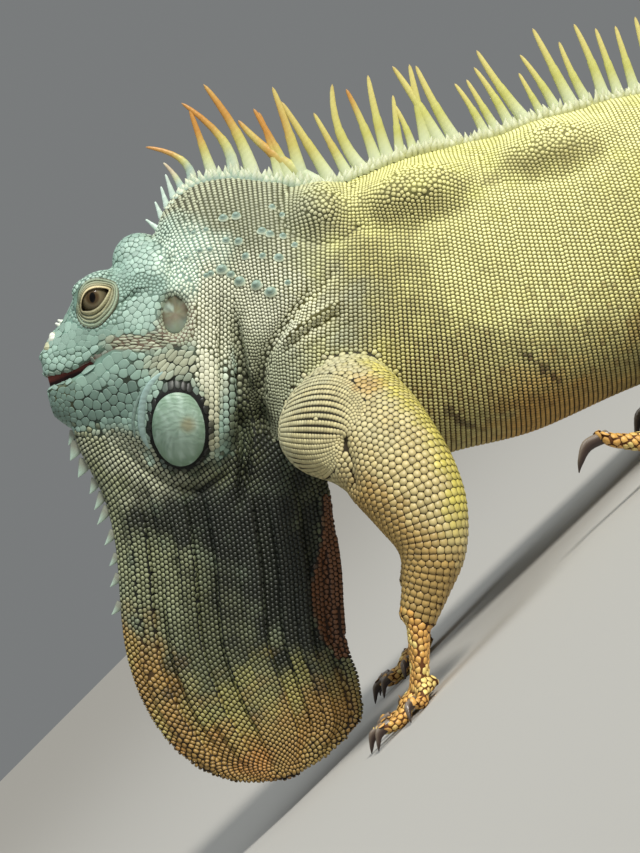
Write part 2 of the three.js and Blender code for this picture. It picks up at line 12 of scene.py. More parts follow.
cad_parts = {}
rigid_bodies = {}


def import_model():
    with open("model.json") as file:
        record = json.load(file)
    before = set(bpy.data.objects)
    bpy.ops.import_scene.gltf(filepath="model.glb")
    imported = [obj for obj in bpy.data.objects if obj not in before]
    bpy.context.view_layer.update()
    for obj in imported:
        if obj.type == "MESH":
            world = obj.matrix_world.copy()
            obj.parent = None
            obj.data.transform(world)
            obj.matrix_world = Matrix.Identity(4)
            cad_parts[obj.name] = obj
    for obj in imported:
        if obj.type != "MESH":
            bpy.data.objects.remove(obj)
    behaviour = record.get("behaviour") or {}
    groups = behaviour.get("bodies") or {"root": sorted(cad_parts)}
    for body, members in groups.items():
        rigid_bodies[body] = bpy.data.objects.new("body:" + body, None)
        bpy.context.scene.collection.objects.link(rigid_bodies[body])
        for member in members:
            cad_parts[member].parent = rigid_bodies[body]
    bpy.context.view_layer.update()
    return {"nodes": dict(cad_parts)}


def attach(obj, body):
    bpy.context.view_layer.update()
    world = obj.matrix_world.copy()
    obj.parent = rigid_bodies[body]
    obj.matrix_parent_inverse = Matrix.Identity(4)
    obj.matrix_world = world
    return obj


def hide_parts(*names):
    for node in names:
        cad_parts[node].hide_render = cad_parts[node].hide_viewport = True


MM = 0.001
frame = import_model()
random = np.random.default_rng(24)

# ---------------------------------------------------------------- driving dimensions
MOUTH_CORNER = (-304.4, 238.8)  # X and Z of the corner of the mouth
HEAD_PITCH = math.radians(24)  # climb of the mouth line towards the nose
COAT = 0.5  # depth of the scales over the skin
VOXEL = 1.15  # grid of the skin's remesh
FRONT_END = -170  # X behind which the skin is coarser
FRONT_FACES, REST_FACES = 113000, 61000  # triangles asked of the skin before and behind it
LOOSE_SEEDS = 260000  # places tried for scales that don't stand in rows
NEIGHBOURS = 16  # of a scale, that bound its outline
SETTLE_ROUNDS, SETTLE_NEIGHBOURS = 3, 7  # of the seeds that push each other apart
TAIL_START, TAIL_LENGTH, TAIL_SWING, TAIL_ROWS = 112, 830, 52, 13
EYE = {"s": 1.6, "h": 28.6, "y": 12.6, "radius": 9.4}
EAR = {"s": -35, "h": 5.5, "long": 11, "wide": 7.4, "tilt": 20}
SHIELD = {"s": -16, "h": -51.5, "long": 20, "wide": 14.4, "tilt": 20}
SIDES = {"left": -1, "right": 1}
ROOT_HALF = math.sqrt(0.5)
FAR_OUT = 200  # a Y beyond the whole animal

# ---------------------------------------------------------------- rows of the body
# One row is a cross-section: ends a and b (X, Y, Z), half width, power of its curve, waist.
SKULL = [
    (41.5, 6, 45.5, -21, 6.5, 2.0, 0.5),
    (38.5, 13.5, 42, -27, 10.5, 2.1, 0.5),
    (31, 20.6, 34.5, -35, 14, 2.2, 0.48),
    (22, 26, 24, -45, 17.5, 2.3, 0.46),
    (12, 35, 13, -56, 21.5, 2.4, 0.4),
    (4, 41.5, 4, -65, 25.5, 2.4, 0.36),
    (-5, 42.8, -6, -73, 29.5, 2.35, 0.33),
    (-14, 41.5, -18, -77, 32.5, 2.3, 0.31),
    (-22, 46.5, -29, -77, 34, 2.25, 0.3),
    (-30, 49.6, -41, -73, 33.5, 2.2, 0.31),
    (-38, 49.5, -52, -65, 31, 2.2, 0.33),
]
TRUNK = [
    (-248.7, 268.4, -282.4, 158.6, 29.5, 2.1, 0.42),
    (-233, 275, -281, 152, 27, 2.1, 0.5),
    (-216, 275.2, -281, 147, 28, 2.1, 0.5),
    (-199, 265, -282, 140, 31, 2.1, 0.48),
    (-184, 247, -282, 131, 36, 2.1, 0.46),
    (-165, 224, -276, 113, 41, 2.1, 0.44),
    (-141, 212.5, -252, 92, 45, 2.1, 0.42),
    (-117, 201, -217, 74, 48, 2.15, 0.42),
    (-90, 183, -180, 52, 51, 2.2, 0.42),
    (-57, 166.5, -133, 34, 52, 2.2, 0.42),
    (-25, 148, -90, 16, 50, 2.2, 0.42),
    (5, 127, -45, 1.5, 46, 2.2, 0.42),
    (34, 106, 2, -2.2, 39, 2.2, 0.44),
    (64, 86, 44, -2, 30, 2.1, 0.46),
    (90, 73, 80, -1.2, 25, 2.1, 0.48),
]
DEWLAP = [
    (-352, 228, -262, 150, 17),
    (-359, 212, -270, 124, 17),
    (-366, 190, -279, 105, 14),
    (-377, 171, -292, 88, 10.5),
    (-389, 156, -304, 72, 8),
    (-404, 139, -318, 56, 6),
    (-417, 122, -330, 41, 5),
    (-426.5, 104, -336, 28, 4.2),
    (-433, 84, -343, 17, 3.6),
    (-434.5, 64, -351, 8.5, 3.2),
    (-431, 45, -366, 6.6, 2.8),
    (-421, 29, -382, 8, 2.4),
    (-408, 17, -394, 11, 1.6),
]
# Limbs: X, Y, Z, half depth, half width of the left side.
ARM = [
    (-247, -24, 137, 33, 21), (-247, -52, 130, 35, 25), (-243.5, -78, 109, 30, 23), (-247, -91, 85, 27, 20),
    (-253, -97, 66, 23, 17.5), (-263, -99, 50, 17, 15), (-278, -98, 40, 12.5, 12.5), (-292, -97, 32, 9.5, 11),
]
ARM_LEAN = (1, 0, 0)
PALM = [(-292, -97, 32, 9.5, 11), (-301, -97, 22, 8, 12), (-311, -97.5, 11.5, 6.5, 13.5),
        (-318, -98, 6.5, 5, 12.5)]
LEG = [
    (4, -18, 58, 26, 22), (-14, -48, 62, 25, 22), (-36, -74, 68, 21, 19), (-55, -91, 70, 17, 16),
    (-57, -99, 56, 15, 14), (-49, -102, 38, 13, 12.5), (-40, -102, 24, 9.5, 10), (-33, -101, 14.5, 8.5, 10),
]
LEG_LEAN = (-0.69, -0.29, 0.66)
SOLE = [(-30, -100.5, 9.5, 8.5, 9.5), (-44, -101, 8, 7.5, 11.5), (-64, -102, 7, 6.5, 13.5),
        (-79, -102.5, 6, 5.5, 13)]
# Toes: start (forward of the palm's end, sideways), length, heading inwards, thickness, tip height, claw.
FINGERS = [
    (-4, 10, 14, 42, 3.8, 6, 10), (0, 5.5, 21, 18, 4, 6, 11), (1, 0, 25, 1, 4, 6, 11),
    (0, -5.5, 23, -17, 4, 6, 11), (-6, -10.5, 15, -48, 3.8, 6, 10),
]
TOES = [
    (-14, 9.5, 15, 34, 4, 6, 11), (-3, 6, 28, 17, 4.4, 7, 13), (1, 1.5, 45, 6, 4.7, 9, 16),
    (0, -4.5, 78, -2, 5, 8, 21), (-22, -9.5, 38, -38, 4.3, 7, 13),
]
RAISED_TOE = {"index": 3, "length": 84, "sections": [(5.4, 5), (7.2, 5), (5, 5.4), (16, 6.6), (30, 6)]}
FAR_SHIFT = {"arm": 8, "leg": 40}
# The open mouth: s forward from its corner, then h of its upper and lower edge.
MOUTH = [(0, 0.2, -0.4), (9, -0.4, -2.4), (16, -1.5, -4.1), (27, -2.6, -6.2), (40, -0.2, -6.3),
         (60, 0.4, -6.2)]

# ---------------------------------------------------------------- places seen by the camera
# The camera looks at the left side from far off, rolled by an eighth of a turn. Marks and folds of
# that side are placed by where they show in its frame, 640 by 853 pixels.
CAMERA = (-258.2, -1500.0, 134.1)
HALF_VIEW = 170.24  # half the width of its view at the animal's middle
FRAME_WIDE, FRAME_HIGH = 640, 853
PIXEL = 2 * HALF_VIEW / FRAME_WIDE


def seen(x, y, depth):
    """X and Z of a place at the depth Y that shows at a pixel of the frame."""
    spread = PIXEL * (depth - CAMERA[1]) / -CAMERA[1]
    across, high = (x - FRAME_WIDE / 2) * spread, (FRAME_HIGH / 2 - y) * spread
    return CAMERA[0] + (across + high) * ROOT_HALF, CAMERA[2] + (high - across) * ROOT_HALF


def seen_line(depth, *pixels):
    return [seen(x, y, depth) for x, y in pixels]


ROLL = math.pi / 4  # of the camera
# Groups of regions: the Y they lie on, raggedness of their edges, and where an edge ends and starts.
REGION_GROUPS = {
    "head": (-27, 0.12, 1.35, 0.7), "neck": (-30, 0.2, 1.45, 0.6), "trunk": (-46, 0.3, 1.75, 0.35),
    "dewlap": (-8, 0.35, 1.6, 0.5),
}

# The paints of the animal.
PAINTS = {
    "white mint": "#e0f0dc", "mint": "#c4dac8", "pale sage": "#a3bdaf", "sage": "#88a496",
    "mid sage": "#78998b", "deep sage": "#6a8377", "pine": "#52675a", "dark pine": "#30382b",
    "night green": "#1e231a", "ink": "#12150e", "cream": "#dddec4", "bone": "#c0bf9e", "stone": "#a6a98f",
    "moss": "#868b68", "deep moss": "#565a3e", "brown hide": "#6c5a4a", "lemon": "#f6f3ac",
    "straw": "#e6e29a", "hay": "#bdb678", "olive": "#7d7947", "deep olive": "#4a4724", "ochre": "#c49b50",
    "old gold": "#9c7b40", "amber": "#a87338", "bronze": "#7b5c30", "umber": "#45300f", "bark": "#241a0b",
}
# Regions of the coat by group, each an ellipse in the frame: name, middle, half lengths and turn of the
# ellipse, paints of the scales and joints, and on head and neck pitch, stretch, way and relief of scales.
REGIONS = {
    "head": [
        ("snout", (72, 322), (30, 24), 40, "sage", "mid sage", 4.6, 1.0, 0, 0.12),
        ("lore", (98, 336), (22, 9), 10, "sage", "mid sage", 3.0, 1.2, 20, 0.2),
        ("brow", (95, 277), (24, 9), 15, "pale sage", "deep sage", 3.4, 1.0, 0, 0.3),
        ("crown", (120, 278), (14, 12), 0, "sage", "deep sage", 2.6, 1.0, 0, 0.4),
        ("casque", (147, 255), (25, 19), -25, "pale sage", "deep sage", 2.9, 1.0, 0, 0.9),
        ("temple", (146, 285), (27, 11), 5, "sage", "pine", 1.9, 1.0, 0, 0.5),
        ("cheek", (150, 312), (27, 19), 0, "pale sage", "deep sage", 3.5, 1.0, 0, 0.35),
        ("ear rim", (180, 320), (20, 27), 0, "stone", "brown hide", 1.9, 1.0, 0, 0.35),
        ("lower lip", (92, 374), (52, 9), 33, "sage", "mid sage", 6.5, 1.6, 33, 0.2),
        ("wrinkles", (142, 342), (36, 9), 0, "stone", "brown hide", 1.5, 3.2, 0, 0.8),
        ("chin", (62, 402), (16, 20), 0, "deep sage", "deep moss", 2.8, 1.0, 0, 0.4),
        ("jaw", (106, 402), (37, 19), 15, "deep sage", "ink", 4.3, 1.0, 0, 0.5),
        ("jaw rear", (140, 370), (22, 11), 15, "sage", "dark pine", 4.0, 1.4, 20, 0.5),
        ("fringe", (178, 366), (32, 19), 0, "stone", "ink", 2.6, 1.9, 48, 0.9),
        ("shield ring", (179, 429), (36, 45), 0, "pale sage", "ink", 2.6, 1.6, 90, 0.9),
        ("rear column", (211, 395), (9, 62), 0, "bone", "dark pine", 2.3, 1.4, 90, 1.1),
        ("rear beads", (229, 394), (9, 44), 0, "pale sage", "ink", 3.7, 1.1, 90, 1.1),
        # under shield: painted shade under the bulge of the jowl.
        ("under shield", (192, 480), (52, 17), 8, "deep moss", "ink", 2.2, 1.4, 75, 1.0),
        ("throat front", (108, 452), (42, 22), 0, "stone", "dark pine", 2.1, 1.5, 70, 1.0),
    ],
    "neck": [
        ("nape", (182, 230), (32, 18), 0, "mint", "pine", 1.9, 1.0, 0, 0.9),
        ("grey", (248, 222), (62, 30), 0, "stone", "deep moss", 1.9, 1.1, 80, 1.0),
        ("mint", (195, 262), (32, 32), 0, "white mint", "sage", 1.7, 1.3, 80, 0.9),
        ("cream columns", (213, 325), (17, 72), 0, "cream", "deep moss", 1.8, 1.3, 90, 1.0),
        ("behind", (266, 292), (42, 40), 0, "cream", "deep moss", 1.8, 1.2, 60, 1.0),
        ("shoulder fold", (318, 312), (46, 26), 32, "cream", "deep olive", 2.0, 1.2, 35, 1.0),
        # dark gap: painted shade in the deep fold behind the jowl.
        ("dark gap", (248, 440), (20, 70), 0, "deep moss", "ink", 2.0, 1.2, 90, 1.0),
        # breast: painted shade on the chest behind the dewlap.
        ("breast", (318, 560), (45, 110), 0, "deep moss", "ink", 2.2, 1.0, 90, 1.0),
    ],
    "trunk": [
        ("right", (560, 235), (90, 105), 0, "lemon", "olive"),
        ("middle", (460, 275), (85, 75), 0, "lemon", "olive"),
        ("top right", (600, 128), (60, 30), 10, "lemon", "olive"),
        ("top", (370, 205), (60, 32), 8, "straw", "olive"),
        ("shoulder", (372, 285), (46, 48), 0, "hay", "deep olive"),
        # over the arm: painted shade on the flank just above the arm.
        ("over the arm", (352, 322), (26, 34), 0, "stone", "deep olive"),
        # flank: painted shade along the lower flank.
        ("flank", (520, 372), (130, 34), 8, "hay", "deep olive"),
        ("behind the arm", (432, 348), (52, 36), 0, "hay", "bark"),
        ("low", (530, 420), (100, 36), 12, "ochre", "bark"),
        ("low front", (455, 410), (45, 45), 0, "hay", "umber"),
        # The humps: darker patches set a little below each swelling, partly darker scales and partly painted
        # shade under the swelling.
        ("hump of the neck", (320, 217), (28, 20), 0, "hay", "deep olive"),
        ("hump of the shoulder", (414, 203), (52, 18), 14, "hay", "deep olive"),
        ("hump of the back", (550, 157), (46, 14), 15, "hay", "olive"),
    ],
    "dewlap": [
        ("throat", (140, 478), (60, 34), 20, "stone", "ink"),
        ("front", (110, 530), (22, 95), 10, "moss", "dark pine"),
        ("left", (165, 585), (40, 70), 8, "moss", "ink"),
        ("middle low", (225, 640), (56, 70), 0, "deep moss", "ink"),
        # centre, shade and rear: the sheet's own dark skin, deepened by painted shade under the jowl.
        ("centre", (268, 540), (52, 95), 4, "night green", "ink"),
        ("shade", (205, 518), (76, 28), 0, "night green", "ink"),
        ("rear", (300, 600), (32, 75), 0, "night green", "ink"),
        ("gold", (144, 690), (30, 75), 25, "old gold", "umber"),
        ("orange", (225, 762), (85, 28), -6, "old gold", "umber"),
        ("rear corner", (325, 712), (34, 26), 0, "old gold", "umber"),
    ],
}
# Folds of the left side: Y of the place, half width, depth of the fold (a ridge is negative), pixels.
FOLDS = {
    "groove of the neck": (-33, 1.5, 2.6, [(220, 285), (221, 340), (222, 400), (221, 440)]),
    "gap behind the jowl": (-30, 2.9, 7.0, [
        (232, 300), (237, 340), (241, 362), (245, 390), (246, 430), (243, 470), (240, 520)]),
    "ridge in the gap": (-30, 1.5, -1.6, [(246, 330), (252, 380), (254, 430), (252, 480)]),
    "front of the shoulder": (-38, 3.2, 4.4, [
        (316, 276), (302, 300), (290, 316), (278, 333), (266, 352), (260, 372), (258, 400), (260, 430),
        (270, 452)]),
    "ridge of the shoulder": (-42, 2.3, -1.9, [
        (350, 296), (332, 307), (318, 315), (304, 323), (290, 334), (276, 348)]),
    "under that ridge": (-42, 2.6, 1.8, [(350, 309), (330, 319), (310, 330), (292, 343), (276, 360)]),
    "upper fold": (-42, 2.8, 1.5, [(338, 262), (330, 276), (318, 292), (306, 306)]),
    "pleat over the arm": (-44, 2.2, 1.0, [(366, 312), (340, 328), (316, 342), (294, 360), (282, 376)]),
    "crease of the arm": (-85, 3.0, 2.8, [(336, 430), (343, 444), (347, 460), (350, 478), (353, 498)]),
    "under the jowl": (-28, 2.6, 2.6, [
        (96, 436), (120, 450), (142, 470), (170, 488), (200, 492), (224, 476), (236, 452)]),
    "ridge of the temple": (-25, 1.4, -1.3, [(120, 299), (129, 292), (137, 287), (150, 285)]),
    "under the temple": (-25, 1.3, 1.3, [(113, 314), (120, 304), (129, 297), (139, 292)]),
    "behind the casque": (-25, 1.4, 1.8, [(167, 250), (169, 264), (171, 278), (173, 292)]),
    "groove of the lip": (-16, 0.9, 0.7, [(48, 356), (66, 357), (86, 351), (106, 341), (114, 338)]),
    "line of the mouth": (-26, 0.8, 1.2, [
        (92, 361), (100, 354), (108, 349), (116, 346.5), (130, 345.5), (148, 348)]),
    "upper wrinkle": (-26, 0.7, 0.9, [(114, 337), (130, 336), (150, 339), (170, 341)]),
    "middle wrinkle": (-26, 0.7, 0.9, [(118, 341.5), (134, 341), (152, 343.5), (172, 346)]),
    "lower wrinkle": (-27, 0.7, 0.8, [(126, 350), (142, 352), (158, 354)]),
}
# The eyelids: the edge of the opening and the outer edge of their folds.
LID_RIM = seen_line(-21, (82, 310), (81.5, 303), (84, 296), (88, 291.5), (94, 289), (101, 288.5), (108, 290),
                    (106, 295), (102, 301.5), (97, 307), (91, 310), (86, 310.5))
LID_EDGE = seen_line(-21, (75, 314), (76, 302), (78, 290), (84, 281), (93, 277), (105, 278), (116, 283),
                     (119, 296), (116, 308), (108, 319), (96, 328), (82, 326))
# Rows of broad scales along the lips.
UPPER_LABIALS = seen_line(-17, (52, 367), (60, 367), (69, 364.5), (78, 360.5), (87, 355.5), (95, 349.5),
                          (103, 343.5), (110, 340))
UPPER_BAND = seen_line(-17, (55, 354), (63, 354), (71, 352), (79, 349), (87, 345), (95, 341), (103, 337))
LOWER_LABIALS = seen_line(-20, (52, 393), (61, 390.5), (71, 387), (81, 383), (91, 377.5), (100, 370.5),
                          (109, 363), (118, 357), (128, 353))
LOWER_BAND = seen_line(-24, (58, 401), (67, 398), (77, 394), (87, 390), (97, 385), (106, 378), (115, 371),
                       (124, 365))
NOSTRIL = seen_line(-6, (48, 337), (45.5, 347))
SNOUT_POINTS = seen_line(-3, (57, 323), (61, 321))
# The folded rear edge of the dewlap, and two dark stains low on the flank.
FLAP = seen_line(-4, (322, 500), (321, 539), (315, 566), (310, 588), (313, 614), (321, 638), (335, 655))
STAINS = [
    seen_line(-50, (515, 350), (528, 356), (540, 366), (552, 372), (566, 388)),
    seen_line(-46, (440, 405), (452, 412), (462, 421), (478, 428), (492, 436)),
]
# Plates in front of the cheek shield.
CRESCENT = seen_line(-33, (163, 372), (152, 381), (144, 395), (141, 410), (140, 425), (142, 438), (148, 449))
CRESCENT_2 = seen_line(-31, (144, 388), (135, 405), (132, 422), (134, 438))
# Round tubercles on the side of the neck: where they show, and their radius in millimetres.
TUBERCLE_DEPTH = -27
TUBERCLES = [
    ((222, 269), 3.0), ((240, 281), 3.0), ((257, 285), 2.9), ((271, 292), 3.0), ((231, 274), 2.2),
    ((211, 273), 1.9), ((206, 275), 1.7), ((246, 256), 2.2), ((239, 241), 2.4), ((226, 240), 2.2),
    ((210, 249), 1.8), ((200, 250), 1.8), ((186, 257), 1.7), ((236, 215), 2.5), ((223, 217), 2.4),
    ((262, 231), 2.4), ((270, 234), 2.2), ((283, 236), 2.0), ((279, 258), 2.6), ((263, 256), 1.9),
    ((272, 206), 1.9), ((206, 229), 1.7), ((193, 232), 1.5), ((295, 245), 1.8), ((288, 283), 1.8),
    ((282, 214), 1.7),
]


def on_head(s, h, y=0.0):
    """A place of the head: s forward from the corner of the mouth, h up from the mouth line."""
    return (
        MOUTH_CORNER[0] - s * math.cos(HEAD_PITCH) + h * math.sin(HEAD_PITCH),
        y,
        MOUTH_CORNER[1] + s * math.sin(HEAD_PITCH) + h * math.cos(HEAD_PITCH),
    )


def head_place(points):
    """s and h of places in space."""
    x, z = points[:, 0] - MOUTH_CORNER[0], points[:, 2] - MOUTH_CORNER[1]
    s = -x * math.cos(HEAD_PITCH) + z * math.sin(HEAD_PITCH)
    h = x * math.sin(HEAD_PITCH) + z * math.cos(HEAD_PITCH)
    return s, h


def of_kind(names, *kinds):
    """True where the name of a part starts with one of the words."""
    return np.any([np.char.startswith(names, kind) for kind in kinds], axis=0)


def unit(vectors):
    return vectors / np.maximum(np.linalg.norm(vectors, axis=-1, keepdims=True), 1e-9)


def smooth(low, high, value):
    share = np.clip((value - low) / (high - low), 0, 1)
    return share * share * (3 - 2 * share)


def run_of(line):
    return np.concatenate([[0], np.cumsum(np.linalg.norm(np.diff(line, axis=0), axis=1))])


def flat_rows(table):
    return np.array([(ax, 0, az, bx, 0, bz, *rest) for ax, az, bx, bz, *rest in table], float)


def tail_rows():
    """The tail lies on the floor in a slow S and tapers to its tip."""
    rows = []
    for index in range(TAIL_ROWS + 1):
        share = index / TAIL_ROWS
        swing = TAIL_SWING * math.sin(share * math.pi * 1.7) * min(1, share * 3)
        high = 64 * (1 - share) ** 1.25 + 4.5
        wide = 22 * (1 - share) ** 1.1 + 1.8
        x = TAIL_START + share * TAIL_LENGTH * (1 - 0.06 * share)
        rows.append((x, swing, high - 1, x, swing, -1, wide, 2.1, 0.45))
    return np.array(rows, float)


def limb_rows(points, lean, square=False):
    points = np.array(points, float)
    centres = points[:, :3]
    rows = []
    for i, centre in enumerate(centres):
        along = unit(centres[min(i + 1, len(centres) - 1)] - centres[max(i - 1, 0)])
        up = np.array(lean, float)
        if not square:
            up = unit(up - along * (up @ along))
        deep, wide = points[i, 3:5]
        rows.append([*(centre + up * deep), *(centre - up * deep), wide, 2.1, 0.5])
    return np.array(rows)


def sided(points, side, shift=0.0):
    """Points of the left side moved to a side of the body."""
    return [(x + shift, -side * y, *rest) for x, y, *rest in points]


CHAIN = np.concatenate([flat_rows(TRUNK), tail_rows()])
TRUNK_LAST, CHAIN_LAST = len(TRUNK) - 1, len(CHAIN) - 1
HEAD_ROWS = np.array([(*on_head(sa, ha), *on_head(sb, hb), *rest) for sa, ha, sb, hb, *rest in SKULL], float)
DEWLAP_ROWS = flat_rows([(*row, 2.4, 0.5) for row in DEWLAP])


# ---------------------------------------------------------------- smooth tubes through rows
def cubic(p0, p1, p2, p3, t):
    return p1 + 0.5 * t * (p2 - p0 + t * (2 * p0 - 5 * p1 + 4 * p2 - p3 + t * (3 * (p1 - p2) + p3 - p0)))


def sample(rows, at):
    """The table's row at a fractional place, on a smooth cubic."""
    at = np.asarray(at, float)
    last = len(rows) - 1
    start = np.clip(np.floor(at).astype(int), 0, last - 1)
    return cubic(*(rows[np.clip(start + step, 0, last)] for step in (-1, 0, 1, 2)), (at - start)[..., None])


def frame_at(rows, at):
    cut = sample(rows, at)
    ahead, behind = sample(rows, np.asarray(at) + 0.05), sample(rows, np.asarray(at) - 0.05)
    along = unit(ahead[..., 0:3] + ahead[..., 3:6] - behind[..., 0:3] - behind[..., 3:6])
    up = cut[..., 0:3] - cut[..., 3:6]
    length = np.linalg.norm(up, axis=-1, keepdims=True)
    up = up / length
    side = unit(np.cross(along, up))
    return cut, along, up, side, length


def surface(rows, at, turn, grow=0.0, scale=1.0, push=0.0):
    """Points of a tube: turn 0 is at end a of a row, a quarter turn on its side."""
    cut, along, up, side, length = frame_at(rows, at)
    power, waist, wide = cut[..., 7:8], cut[..., 8:9], cut[..., 6:7]
    turn = np.asarray(turn, float)[..., None]
    high = np.sign(np.cos(turn)) * np.abs(np.cos(turn)) ** (2 / power)
    across = np.sign(np.sin(turn)) * np.abs(np.sin(turn)) ** (2 / power)
    reach = np.where(high >= 0, 1 - waist, waist) * length + grow
    scale, push = np.asarray(scale, float), np.asarray(push, float)
    if scale.ndim:
        scale = scale[..., None]
    if push.ndim:
        push = push[..., None]
    centre = cut[..., 3:6] + up * waist * length
    return centre + up * high * reach * scale + side * across * (wide + grow) * scale + along * push


def rings_of(rows, steps, sides, grow=0.0, tip=0.0, heel=0.0):
    """Rings of a closed tube through the rows, with domed ends of the depths tip and heel."""
    last = len(rows) - 1
    dome = np.linspace(0.15, 1, 5)[::-1] * math.pi / 2
    at = [np.zeros(5), np.linspace(0, last, steps + 1), np.full(5, last)]
    scale = [np.cos(dome), np.ones(steps + 1), np.cos(dome[::-1])]
    push = [-heel * np.sin(dome), np.zeros(steps + 1), tip * np.sin(dome[::-1])]
    at, scale, push = (np.concatenate(part)[:, None] for part in (at, scale, push))
    turn = np.linspace(0, 2 * math.pi, sides, endpoint=False)[None, :]
    shape = (len(at), sides)
    return surface(rows, np.broadcast_to(at, shape), np.broadcast_to(turn, shape), grow,
                   np.broadcast_to(scale, shape), np.broadcast_to(push, shape))


def deselect():
    if bpy.context.mode != "OBJECT":
        bpy.ops.object.mode_set(mode="OBJECT")
    bpy.ops.object.select_all(action="DESELECT")


def choose(*pieces):
    deselect()
    for piece in pieces:
        piece.select_set(True)
    bpy.context.view_layer.objects.active = pieces[0]


def merge_doubles(piece):
    choose(piece)
    bpy.ops.object.mode_set(mode="EDIT")
    bpy.ops.mesh.select_all(action="SELECT")
    bpy.ops.mesh.remove_doubles(threshold=0.001 * MM)
    bpy.ops.mesh.normals_make_consistent(inside=False)
    bpy.ops.object.mode_set(mode="OBJECT")


def tube(name, rings, share=None):
    """A grid of rings by sides, laid on the rings, with its seam closed; an end closes where its ring shrinks
    to a point.
    """
    rings = np.asarray(rings, float)
    count, sides = rings.shape[:2]
    deselect()
    bpy.ops.mesh.primitive_grid_add(x_subdivisions=sides, y_subdivisions=count - 1, size=1)
    piece = bpy.context.active_object
    piece.name = name
    piece.data.vertices.foreach_set("co", (np.concatenate([rings, rings[:, :1]], axis=1) * MM).ravel())
    if share is not None:
        values = np.concatenate([share, share[:, :1]], axis=1).astype(np.float32).ravel()
        piece.data.attributes.new("share", "FLOAT", "POINT").data.foreach_set("value", values)
    merge_doubles(piece)
    return piece


def lump(name, centre, radii, turn=0.0):
    """A ball stretched and turned about the Y axis."""
    deselect()
    bpy.ops.mesh.primitive_uv_sphere_add(segments=32, ring_count=20, radius=1)
    piece = bpy.context.active_object
    piece.name = name
    shape = Matrix.Translation(Vector(centre) * MM) @ Matrix.Rotation(turn, 4, "Y")
    piece.data.transform(shape @ Matrix.Diagonal((*[value * MM for value in radii], 1)))
    return piece


def join(name, pieces):
    choose(*pieces)
    if len(pieces) > 1:
        bpy.ops.object.join()
    joined = bpy.context.active_object
    joined.name = name
    joined.data.name = name
    return joined


def apply(piece, kind, **settings):
    choose(piece)
    modifier = piece.modifiers.new(kind, kind)
    for key, value in settings.items():
        setattr(modifier, key, value)
    bpy.ops.object.modifier_apply(modifier=modifier.name)


def points_of(piece):
    values = np.empty(len(piece.data.vertices) * 3)
    piece.data.vertices.foreach_get("co", values)
    return values.reshape(-1, 3) / MM


def normals_of(piece):
    values = np.empty(len(piece.data.vertices) * 3)
    piece.data.vertex_normals.foreach_get("vector", values)
    return values.reshape(-1, 3)


def set_points(piece, points):
    piece.data.vertices.foreach_set("co", (points * MM).ravel())
    piece.data.update()


def relax(piece, rounds, strength):
    """Evens out the mesh: each vertex moves towards the middle of its neighbours."""
    points = points_of(piece)
    edges = np.empty(len(piece.data.edges) * 2, np.int64)
    piece.data.edges.foreach_get("vertices", edges)
    one, other = edges.reshape(-1, 2).T
    count = np.bincount(one, minlength=len(points)) + np.bincount(other, minlength=len(points))
    for _ in range(rounds):
        middle = np.empty_like(points)
        for axis in range(3):
            middle[:, axis] = np.bincount(one, points[other, axis], len(points)) + np.bincount(
                other, points[one, axis], len(points))
        points += strength * (middle / count[:, None] - points)
    set_points(piece, points)


# ---------------------------------------------------------------- limbs, hands and feet
def digit_rows(end, spec, rise, raised=None):
    """Rows of a toe and of its claw."""
    ahead, aside, length, heading, thick, lift, claw_length = spec
    turn = math.radians(heading)
    start = (end[0] - ahead, end[1] + aside)
    low = thick - 0.8
    sections = [(5.4, thick), (low + rise, thick), (low, thick), (max(low, lift * 0.7), thick * 0.95),
                (lift, thick * 0.85)]
    arch, droop = 0.06, 0.55
    if raised:
        length, sections = raised["length"], raised["sections"]
        arch, droop = 0.2, 0.1
    lift = sections[-1][0]

    def reach(forward, z, deep, wide=None):
        return (start[0] - math.cos(turn) * forward, start[1] + math.sin(turn) * forward, z, deep,
                deep if wide is None else wide)

    forward = (-6, length * 0.25, length * 0.55, length * 0.85, length)
    toe = [reach(place, z, deep, min(deep, thick)) for place, (z, deep) in zip(forward, sections)]
    claw = [
        reach(length - 3, lift, thick * 0.72, thick * 0.56),
        reach(length + claw_length * 0.4, lift + claw_length * arch, thick * 0.62, thick * 0.46),
        reach(length + claw_length * 0.8, max(3, lift + claw_length * (arch - droop) * 0.5), thick * 0.36,
              thick * 0.27),
        reach(length + claw_length, max(1, lift - claw_length * droop), 0.4, 0.35),
    ]
    return toe, claw


def limb_tables():
    """Rows of every limb, palm and toe, and the claws, by name."""
    flesh, claws = {}, {}
    for name, side in SIDES.items():
        for kind, lean, limb, end, digits, rise in (
            ("arm", ARM_LEAN, ARM, PALM, FINGERS, 3.2),
            ("leg", LEG_LEAN, LEG, SOLE, TOES, 3.0),
        ):
            shift = FAR_SHIFT[kind] if side > 0 else 0
            leaning = (lean[0], -side * lean[1], lean[2])
            flesh[f"{kind}_{name}"] = limb_rows(sided(limb, side, shift), leaning)
            palm = "hand" if kind == "arm" else "foot"
            flesh[f"{palm}_{name}"] = limb_rows(sided(end, side, shift), (0, 0, 1), True)
            for index, spec in enumerate(digits):
                raised = RAISED_TOE if palm == "foot" and side < 0 and index == RAISED_TOE["index"] else None
                both = (sided(points, side, shift) for points in digit_rows(end[-1], spec, rise, raised))
                toe, claw = (limb_rows(points, (0, 0, 1), True) for points in both)
                flesh[f"{palm}_toe_{index + 1}_{name}"] = toe
                claws[f"{palm}_claw_{index + 1}_{name}"] = claw
    return flesh, claws


FLESH, CLAWS = limb_tables()
PARTS = {"chain": CHAIN, "skull": HEAD_ROWS, "dewlap": DEWLAP_ROWS, **FLESH}
PART_NAMES = np.array(list(PARTS))


